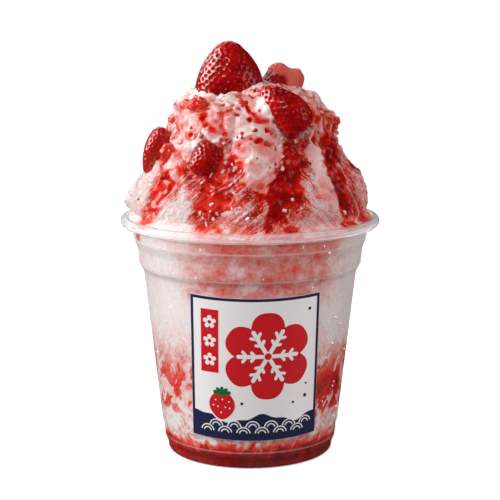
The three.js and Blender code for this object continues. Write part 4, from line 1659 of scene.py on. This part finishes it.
@dataclass(frozen=True)
class Flakes:
    """Loose flakes of shaved ice on the heap, and blunt chips at the edges of its milk and syrup."""

    count: int = 11000
    chips: int = 46
    bare_rows: int = 8
    angles: Pair = (140.0, 50.0)
    seed: int = 11

    def odds(self, heap: Heap, places: Array) -> tuple[Array, Array]:
        """The odds of a flake and of a chip at each point of the heap's grid.

        Args:
            heap: the heap.
            places: the points of its grid.

        Returns:
            Two rows of odds, each adding up to 1.
        """
        milk, syrup, _ = heap.shares(places)
        azimuth, z = azimuth_of(places), places[:, 2]
        reach = np.hypot(places[:, 0], places[:, 1])
        flakes = reach * (1 - np.minimum(1.15 * milk, 1)) * (1 - 0.97 * syrup)
        flakes *= step(137, 120, z) + 0.1
        chips = reach * (1 - milk) * (0.1 + syrup * (1 - syrup) * 4) * step(128, 120, z)
        middle = step(-30, -20, azimuth) * step(0, -6, azimuth)
        right = step(16, 20, azimuth) * step(32, 26, azimuth)
        chips *= 0.04 + middle + 0.25 * right
        for odds in (flakes, chips):
            odds[: self.bare_rows * heap.columns] = 0
            odds /= odds.sum()
        return flakes, chips

    def strew(
        self, random: np.random.Generator, heap: Heap, place: Array, normal: Array, under: Array
    ) -> Slivers:
        """Turns, sizes and tints every flake and chip at random.

        Args:
            random: what the random numbers come from.
            heap: the heap, which says how its strands lie.
            place: where on the heap each one lies, the flakes first.
            normal: the way out of the heap at each.
            under: how red the heap is at each.

        Returns:
            The flakes and, after them, the chips.
        """
        total = len(place)
        chip = np.arange(total) >= self.count
        side = unit(np.cross(normal, [0, 0, 1.0]) + 1e-6)
        upright = np.cross(side, normal)
        left = heap.leftwards(place) > random.random(total)
        loose = 1 + chip + 1.3 * step(108, 100, place[:, 2])
        left_turn, right_turn = (math.radians(angle) for angle in self.angles)
        turn = np.where(left, left_turn, right_turn) + random.normal(0, 0.3, total) * loose
        lean = random.uniform(-0.05, 0.3, total) * (1 + chip)
        turn, lean = turn[:, None], lean[:, None]
        flat_way = np.cos(turn) * side + np.sin(turn) * upright
        long_way = np.cos(lean) * flat_way + np.sin(lean) * normal
        wide_way = unit(np.cross(long_way, normal))
        length = random.uniform(0.5, 1.3, total) * np.where(chip, 1.1, 1)
        width = random.uniform(0.12, 0.3, total) * np.where(chip, 2.2, 1)
        thick = random.uniform(0.05, 0.12, total) * np.where(chip, 3.0, 1)
        centre = place + normal * random.uniform(-0.1, 0.2, total)[:, None]
        chip_red = 0.08 + 0.1 * random.random(total)
        flake_red = under * random.choice((0.45, 0.8, 1.0), total) + 0.08
        wet = np.where(chip, 1, 0.5 * random.random(total))
        return Slivers(
            centre=centre,
            ways=np.stack([long_way, wide_way, np.cross(long_way, wide_way)]),
            sizes=np.stack([length, width, thick])[..., None],
            looks={"red": np.where(chip, chip_red, flake_red), "wet": wet, "dry": np.zeros(total)},
        )

    def make(self, heap: Heap, ground: Surface, finish: bpy.types.Material) -> None:
        """Strews the flakes over the icy parts of the heap, and the chips along the edges.

        Args:
            heap: the heap, which says where milk and syrup lie.
            ground: the heap's free surface.
            finish: the finish of both.
        """
        random = np.random.default_rng(self.seed)
        columns, rows = heap.columns, heap.grid_rows()
        outer = ground.points[: columns * rows]
        grid = outer.reshape(rows, columns, 3)
        flake_odds, chip_odds = self.odds(heap, outer)
        flakes = random.choice(len(outer), self.count, p=flake_odds)
        picked = np.concatenate([flakes, random.choice(len(outer), self.chips, p=chip_odds)])
        across = np.roll(grid, -1, axis=1) - np.roll(grid, 1, axis=1)
        normal = np.cross(across, np.gradient(grid, axis=0)).reshape(-1, 3)[picked]
        normal /= np.linalg.norm(normal, axis=1, keepdims=True) + 1e-9
        slivers = self.strew(random, heap, outer[picked], normal, ground.values["red"][picked])
        settle(slivers.flakes(self.count).build("ice_flakes", [finish], crease=0), "mound_ice")
        settle(slivers.chips(self.count).build("ice_chips", [finish]), "mound_ice")


@dataclass(frozen=True)
class Crumbs:
    """Crumbs of crushed strawberry sunk in the milk and ice."""

    count: int = 240
    bare_rows: int = 13
    seed: int = 23

    def make(self, heap: Heap, ground: Surface, flesh: bpy.types.Material) -> None:
        """Strews the crumbs, mostly on the crown and the upper slopes.

        Args:
            heap: the heap, which says where its grid runs.
            ground: the heap's free surface.
            flesh: the crumbs' finish.
        """
        random = np.random.default_rng(self.seed)
        points = ground.points[: heap.columns * heap.grid_rows()]
        reach = np.hypot(points[:, 0], points[:, 1])
        weight = reach * (0.12 + step(106, 124, points[:, 2]))
        weight[: self.bare_rows * heap.columns] = 0
        shape, faces = unit_ball(3)
        parts = []
        for index in random.choice(len(points), self.count, p=weight / weight.sum()):
            size = 0.4 + 1.0 * random.random() ** 2
            where = 10 * random.random(3)
            lumps = 1 + 0.45 * noise(shape + where, 0.9) + 0.2 * noise(shape + where, 0.4)
            stretch = random.uniform(0.65, 1.35, 3)
            centre = points[index] * (1 - 0.75 * size / np.linalg.norm(points[index]))
            placed = centre + shape * lumps[:, None] * stretch * size
            bare, core = 0.5 * random.random() ** 2, random.random()
            looks = {"flesh": bare, "core": core, "tone": random.uniform(0.2, 1)}
            values = {key: np.full(len(placed), number) for key, number in looks.items()}
            parts.append(Surface(placed, faces, values))
        settle(joined(parts).build("strawberry_crumbs", [flesh]), "strawberry")


# ---- The label ----


class Ink(Enum):
    """The inks of the label."""

    WHITE = "white"
    NAVY = "navy"
    RED = "red"
    GREEN = "green"


DOTS: tuple[Point, ...] = (  # right, up, radius
    (19.2, -11.5, 0.7), (14.2, -13.3, 0.5), (20.3, 22.0, 0.6), (-5.0, -12.8, 0.55), (19.5, -6.8, 0.45),
)
PRINTED_SEEDS: tuple[Pair, ...] = (  # right, up, from the printed berry's middle
    (-2, 1.2), (0.2, 1.5), (2.2, 0.9), (-1.2, -0.9), (1.1, -1.0), (-0.2, -2.8), (2.5, -1.2),
    (-2.7, -0.6),
)


@dataclass(frozen=True)
class Patch:
    """A printed shape on the flat label: its ink, how high it lies in the print, and its corners in order."""

    ink: Ink
    layer: int
    corners: tuple[Pair, ...]


@dataclass
class Label:
    """A printed label wrapped on the cone of the cup: a snow crystal, blossoms, waves and a strawberry.

    From its middle, crystal and berry are (right, up, size) and band is (left, low, right, high).
    """

    cup: Cup
    width: float = 49.2
    height: float = 54.8
    taper: float = 0.018
    azimuth: float = 3.2
    z: float = 39.3
    film: float = 0.16
    ink_step: float = 0.035
    ink_foot: float = 0.03
    columns: int = 72
    rows: int = 36
    cut_width: float = 1.5
    cut_height: float = 8.0
    frame_edge: float = 0.08
    frame_line: float = 1.1
    crystal: Point = (4.4, 5.4, 16.6)
    band: tuple[float, ...] = (-20.4, -1.5, -13.6, 22.6)
    sea_top: float = -15.5
    berry: Point = (-12.4, -13.4, 6.0)
    patches: list[Patch] = field(default_factory=list)

    def on_cone(self, flat: Array) -> Array:
        """Places on the cone for points of the flat label.

        Args:
            flat: rows of how far right, how far up, and how far off the wall.

        Returns:
            The places.
        """
        (low_r, low_z), (high_r, high_z) = self.cup.cone_low, self.cup.cone_high
        slope = math.atan2(high_r - low_r, high_z - low_z)
        v = flat[:, 1]
        u = flat[:, 0] * (1 + self.taper * v / self.height)
        middle_radius = low_r + math.tan(slope) * (self.z - low_z) + WALL / 2 / math.cos(slope)
        middle = middle_radius / math.sin(slope)
        from_apex = np.hypot(u, middle + v)
        turn = np.degrees(np.arctan2(u, middle + v) / math.sin(slope))
        z = self.z + (from_apex - middle) * math.cos(slope)
        radius = low_r + math.tan(slope) * (z - low_z) + WALL / 2 / math.cos(slope)
        return at(self.azimuth + turn, radius + flat[:, 2], z)

    def add(self, ink: Ink, layer: int, corners: Iterable[Pair]) -> None:
        """Adds one printed shape."""
        self.patches.append(Patch(ink, layer, tuple((float(x), float(y)) for x, y in corners)))

    def bar(self, ink: Ink, layer: int, left: float, low: float, right: float, high: float) -> None:
        """Adds an upright rectangle."""
        self.add(ink, layer, ((left, low), (right, low), (right, high), (left, high)))

    def disc(
        self, ink: Ink, layer: int, x: float, y: float, radius: float, lobes: int = 0, depth: float = 0.0
    ) -> None:
        """Adds a disc, or one with rounded lobes round its edge.

        Args:
            ink: its ink.
            layer: how high it lies in the print.
            x: its middle, to the right.
            y: its middle, upwards.
            radius: its radius.
            lobes: how many lobes, or 0 for a plain disc.
            depth: how deep the notches are, as a share.
        """
        turn = np.linspace(0, 2 * np.pi, 96 if lobes else 40, endpoint=False)
        reach = radius * (1 - depth * (1 - np.abs(np.cos(lobes * turn / 2))) ** 1.5)
        self.add(ink, layer, zip(x - reach * np.sin(turn), y + reach * np.cos(turn)))

    def spoke(self, ink: Ink, layer: int, start: Pair, end: Pair, thick: float) -> None:
        """Adds a straight bar between two points, pointed a little at its far end.

        Args:
            ink: its ink.
            layer: how high it lies in the print.
            start: the blunt end.
            end: the pointed end.
            thick: its width.
        """
        a, b = np.array(start), np.array(end)
        way = (b - a) / np.linalg.norm(b - a)
        side = np.array([-way[1], way[0]]) * thick / 2
        tip = b + way * thick * 0.4
        self.add(ink, layer, (a - side, b - side, tip, b + side, a + side))

    def blossom(self, ink: Ink, layer: int, x: float, y: float, radius: float) -> None:
        """Adds a flower of five petals."""
        self.disc(ink, layer, x, y, radius, lobes=5, depth=0.55)

    def arc(self, ink: Ink, layer: int, x: float, y: float, radius: float, thick: float) -> None:
        """Adds the upper half of a ring."""
        turn = np.linspace(0.12, np.pi - 0.12, 15)
        outer = [(x + radius * math.cos(t), y + radius * math.sin(t)) for t in turn]
        inner = [(x + (radius - thick) * math.cos(t), y + (radius - thick) * math.sin(t)) for t in turn[::-1]]
        self.add(ink, layer, outer + inner)

    def draw(self) -> None:
        """Draws the print: a frame, a snow crystal on a red flower, a red band, waves and a strawberry."""
        w, h, edge, line = self.width / 2, self.height / 2, self.frame_edge, self.frame_line
        for left, low, right, high in (
            (-w + edge, h - edge - line, w - edge, h - edge),
            (-w + edge, -h + edge, w - edge, -h + edge + line),
            (-w + edge, -h + edge + line, -w + edge + line, h - edge - line),
            (w - edge - line, -h + edge + line, w - edge, h - edge - line),
        ):
            self.bar(Ink.NAVY, 1, left, low, right, high)
        self.draw_crystal(*self.crystal)
        self.bar(Ink.RED, 1, *self.band)
        band_middle = (self.band[0] + self.band[2]) / 2
        for y in (17.8, 10.6, 3.4):
            self.blossom(Ink.WHITE, 2, band_middle, y, 2.5)
            self.disc(Ink.RED, 3, band_middle, y, 0.7)
        self.draw_waves(-h + edge + line, self.sea_top)
        self.draw_berry(*self.berry)
        for x, y, radius in DOTS:
            self.disc(Ink.NAVY, 1, x, y, radius)

    def draw_crystal(self, x: float, y: float, radius: float) -> None:
        """Draws the red flower and the white crystal on it."""
        self.disc(Ink.RED, 1, x, y, radius, lobes=6, depth=0.26)
        for k in range(6):
            turn = math.radians(60 * k + 30)
            way = np.array([math.sin(turn), math.cos(turn)])
            centre = np.array([x, y])
            self.spoke(Ink.WHITE, 2, tuple(centre), tuple(centre + way * radius * 0.66), 1.5)
            for share, reach in ((0.28, 2.3), (0.46, 2.6)):
                start = centre + way * radius * share
                for bend in (-52, 52):
                    t = turn + math.radians(bend)
                    end = start + reach * np.array([math.sin(t), math.cos(t)])
                    self.spoke(Ink.WHITE, 2, tuple(start), tuple(end), 1.1)
        self.disc(Ink.RED, 3, x, y, 1.3)

    def draw_waves(self, low: float, high: float) -> None:
        """Draws the navy sea with rows of half rings."""
        w = self.width / 2 - 1.16  # reaching just under the frame
        xs = np.linspace(-w, w, 61)
        crest = [(x, high - 3.2 + 1.5 * math.sin(x * 0.26 + 0.8) + 0.5 * math.sin(x * 0.71)) for x in xs]
        self.add(Ink.NAVY, 1, [(w, low), *crest[::-1], (-w, low)])
        for row, y in enumerate((-24.6, -22.2)):
            for x in np.arange(-18 + 3.4 * (row % 2), w - 3, 6.8):
                for radius in (2.7, 1.6):
                    self.arc(Ink.WHITE, 2, x, y, radius, 0.42)

    def draw_berry(self, x: float, y: float, size: float) -> None:
        """Draws the small strawberry with its leaves and seeds."""
        turn = np.linspace(0, 2 * np.pi, 48, endpoint=False)
        outline = []
        for t in turn:
            narrow = 1 - 0.28 * max(0, -math.cos(t)) ** 1.5
            outline.append((x + size * 0.82 * math.sin(t) * narrow, y + size * (0.92 * math.cos(t) - 0.1)))
        halo = [(x + (px - x) * 1.12, y + (py - y) * 1.1) for px, py in outline]
        self.add(Ink.WHITE, 2, halo)
        self.add(Ink.RED, 3, outline)
        for k in range(5):
            t = math.radians(-70 + 35 * k)
            tip = (x + 3.1 * math.sin(t), y + size * 0.62 + 2.6 * math.cos(t))
            self.spoke(Ink.GREEN, 4, (x, y + size * 0.62), tip, 1.3)
        for sx, sy in PRINTED_SEEDS:
            self.disc(Ink.WHITE, 4, x + sx * size / 5, y + sy * size / 5, 0.28)

    def film_surface(self) -> Surface:
        """The white film as a thin closed slab."""
        columns, rows = self.columns, self.rows
        u = np.linspace(-self.width / 2, self.width / 2, columns + 1)
        v = np.linspace(-self.height / 2, self.height / 2, rows + 1)
        grid_u, grid_v = np.meshgrid(u, v)
        sides = []
        for off in (self.film, -0.02):
            flat = np.stack([grid_u.ravel(), grid_v.ravel(), np.full(grid_u.size, off)], axis=-1)
            sides.append(self.on_cone(flat))
        count = (columns + 1) * (rows + 1)
        index = np.arange(count).reshape(rows + 1, columns + 1)
        quads = np.stack([index[:-1, :-1], index[:-1, 1:], index[1:, 1:], index[1:, :-1]], axis=-1)
        quads = quads.reshape(-1, 4)
        faces = quads.tolist() + (quads[:, ::-1] + count).tolist()
        border = [*index[0], *index[1:, -1], *index[-1, -2::-1], *index[-2:0:-1, 0]]
        for a, b in zip(border, [*border[1:], border[0]]):
            faces.append([int(b), int(a), int(a) + count, int(b) + count])
        return Surface(np.concatenate(sides), faces)

    def ink_surface(self, ink: Ink) -> Surface:
        """All shapes of one ink as thin slabs, cut so finely that they follow the cone."""
        parts = []
        for patch in (p for p in self.patches if p.ink is ink):
            shape = bmesh.new()
            top = self.film + self.ink_step * patch.layer
            face = shape.faces.new([shape.verts.new((x, y, top)) for x, y in patch.corners])
            if face.normal_update() or face.normal.z < 0:
                face.normal_flip()
            grown = bmesh.ops.extrude_face_region(shape, geom=[face])["geom"]
            under = [g for g in grown if isinstance(g, bmesh.types.BMVert)]
            bmesh.ops.translate(shape, verts=under, vec=(0, 0, self.ink_foot - top))
            for axis, gap in ((0, self.cut_width), (1, self.cut_height)):
                low, high = min(c[axis] for c in patch.corners), max(c[axis] for c in patch.corners)
                for cut in np.arange(math.ceil(low / gap) * gap, high, gap):
                    across = [0, 0, 0]
                    across[axis] = 1
                    geometry = [*shape.verts, *shape.edges, *shape.faces]
                    spot = [(cut + 1e-4) * share for share in across]
                    bmesh.ops.bisect_plane(shape, geom=geometry, plane_co=spot, plane_no=across)
            bmesh.ops.triangulate(shape, faces=shape.faces[:])
            bmesh.ops.recalc_face_normals(shape, faces=shape.faces[:])
            shape.verts.index_update()
            flat = np.array([v.co[:] for v in shape.verts])
            faces = [[v.index for v in f.verts] for f in shape.faces]
            shape.free()
            parts.append(Surface(self.on_cone(flat), faces))
        return joined(parts)

    def make(self, inks: dict[Ink, bpy.types.Material]) -> None:
        """Builds the film and one piece for each ink."""
        self.draw()
        settle(self.film_surface().build("label_film", [inks[Ink.WHITE]], crease=0), "printed_film", "label")
        for ink in Ink:
            piece = self.ink_surface(ink).build("label_ink_" + ink.value, [inks[ink]], crease=0)
            settle(piece, "printed_film")


# ---- The studio ----

DAYLIGHT: Colour = (1, 0.985, 0.97)
WARM: Colour = (1, 0.98, 0.97)
ROSY: Colour = (1, 0.94, 0.93)


@dataclass(frozen=True)
class SoftLamp:
    """A soft lamp: its place, target, size and strength, and whether it lights, is mirrored, or both."""

    name: str
    place: Point
    target: Point
    width: float
    height: float
    power: float
    colour: Colour = (1, 1, 1)
    lights: bool = True
    mirrored: bool = True

    def make(self) -> None:
        """Sets up the lamp."""
        data = bpy.data.lights.new(self.name, "AREA")
        data.shape = "RECTANGLE"
        data.size, data.size_y = self.width, self.height
        data.energy = self.power
        data.color = self.colour
        lamp = bpy.data.objects.new(self.name, data)
        lamp.location = self.place
        lamp.visible_diffuse = self.lights
        lamp.visible_glossy = self.mirrored
        lamp.visible_transmission = False
        lamp.rotation_euler = (Vector(self.target) - Vector(self.place)).to_track_quat("-Z", "Y").to_euler()
        bpy.context.scene.collection.objects.link(lamp)


@dataclass(frozen=True)
class Studio:
    """A pale floor, soft light and the camera."""

    camera_distance: float = 0.5653
    camera_height: float = 0.1782
    camera_down: float = 10.15
    half_view: float = 9.42
    sensor: float = 36.0
    sky: float = 0.28
    floor_size: float = 80.0
    floor_glow: float = 0.85

    def make(self) -> None:
        """Builds the studio."""
        self.make_floor()
        self.make_camera()
        self.make_sky()
        middle, crown = (0, 0, 0.09), (0, 0, 0.142)
        for lamp in (
            SoftLamp("window", (-0.78, -0.12, 0.38), middle, 0.45, 0.55, 5.3, DAYLIGHT, mirrored=False),
            SoftLamp("front", (-0.4, -0.75, 0.66), middle, 0.55, 0.45, 5.0, WARM, mirrored=False),
            SoftLamp("fill", (0.9, -0.08, 0.16), middle, 0.9, 0.8, 5.4, ROSY, mirrored=False),
            SoftLamp("tall_glint", (-0.71, 0.1, 0.57), crown, 0.56, 0.8, 9, WARM, lights=False),
            SoftLamp("side_glint", (0.81, -0.145, 0.48), crown, 0.65, 0.42, 0.65, lights=False),
            SoftLamp("small_glint", (-0.18, -0.5, 0.8), crown, 0.16, 0.16, 0.7, lights=False),
            SoftLamp("back", (-0.2, 0.7, 0.5), middle, 0.6, 0.6, 1.5),
        ):
            lamp.make()
        scene = bpy.context.scene
        scene.view_settings.view_transform = "Standard"
        scene.view_settings.look = "None"

    def make_floor(self) -> None:
        """Builds the pale floor."""
        half = self.floor_size / 2
        mesh = bpy.data.meshes.new("floor")
        corners = [(-half, -half, 0), (half, -half, 0), (half, half, 0), (-half, half, 0)]
        mesh.from_pydata(corners, [], [(0, 1, 2, 3)])
        r = Recipe("pale_floor")
        paper = {"Base Color": (0.9, 0.9, 0.9), "Roughness": 0.6}
        shader = r.principled({**paper, "Emission Color": (1, 1, 1), "Emission Strength": self.floor_glow})
        mesh.materials.append(r.finish(shader.outputs[0]))
        floor = bpy.data.objects.new("floor", mesh)
        bpy.context.scene.collection.objects.link(floor)
        floor.visible_diffuse = False
        floor.visible_glossy = False

    def make_camera(self) -> None:
        """Sets up the camera."""
        data = bpy.data.cameras.new("camera")
        data.sensor_width = self.sensor
        data.lens = self.sensor / 2 / math.tan(math.radians(self.half_view))
        camera = bpy.data.objects.new("camera", data)
        camera.location = (0, -self.camera_distance, self.camera_height)
        camera.rotation_euler = (math.radians(90 - self.camera_down), 0, 0)
        bpy.context.scene.collection.objects.link(camera)
        bpy.context.scene.camera = camera

    def make_sky(self) -> None:
        """Sets up the even light from all round."""
        world = bpy.data.worlds.new("studio")
        world.use_nodes = True
        background = world.node_tree.nodes["Background"].inputs
        background["Color"].default_value = (1, 1, 1, 1)
        background["Strength"].default_value = self.sky
        world.cycles_visibility.glossy = False
        bpy.context.scene.world = world


def main() -> None:
    """Builds the kakigori and its studio, and notes its size."""
    logging.basicConfig(level=logging.INFO, format="%(name)s: %(message)s")
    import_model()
    clear = ThinClear("clear_plastic").build()
    rolled = ThickClear(
        "clear_plastic_rim", (0.943, 0.942, 0.942), 0.16, ior=1.2, frost=0.21, haze=(0.75, 0.745, 0.745)
    ).build()
    water = ThickClear("water", (1, 1, 1), 0.16, ior=1.33).build()
    heap_ice = WetIce("wet_shaved_ice", grain=0.5, mottle=0.26).build()
    packed_ice = WetIce("packed_ice", grain=1.3, mottle=0.12, scatter=0.8, wet_roughness=0.3).build()
    loose_ice = WetIce("loose_ice", scatter=0.8, dry_roughness=0.25).build()
    skin = BerrySkin("strawberry_skin").build()
    crushed = BerrySkin("crushed_strawberry", (0.42, 0.008, 0.005), (0.74, 0.035, 0.018)).build()
    husk = SeedHusk("seed_husk").build()
    inks = {
        Ink.WHITE: PlainCoat("white_film", (0.86, 0.835, 0.83), (0.90, 0.875, 0.87)).build(),
        Ink.NAVY: PlainCoat("navy_ink", (0.012, 0.016, 0.06), (0.02, 0.025, 0.08)).build(),
        Ink.RED: PlainCoat("red_ink", (0.60, 0.008, 0.014), (0.66, 0.012, 0.02)).build(),
        Ink.GREEN: PlainCoat("green_ink", (0.005, 0.13, 0.03), (0.01, 0.16, 0.04)).build(),
    }
    cup = Cup()
    filling = Filling(cup)
    heap = Heap(cup)
    cup.make(clear, rolled)
    filling.make(packed_ice)
    ground = heap.make(heap_ice, packed_ice, filling)
    Flakes().make(heap, ground, loose_ice)
    Crumbs().make(heap, ground, crushed)
    for berry in BERRIES:
        berry.make(skin, husk)
    for chunk in CHUNKS:
        chunk.make(crushed)
    Label(cup).make(inks)
    Droplets(cup).make(water)
    Studio().make()


if __name__ == "__main__":
    main()
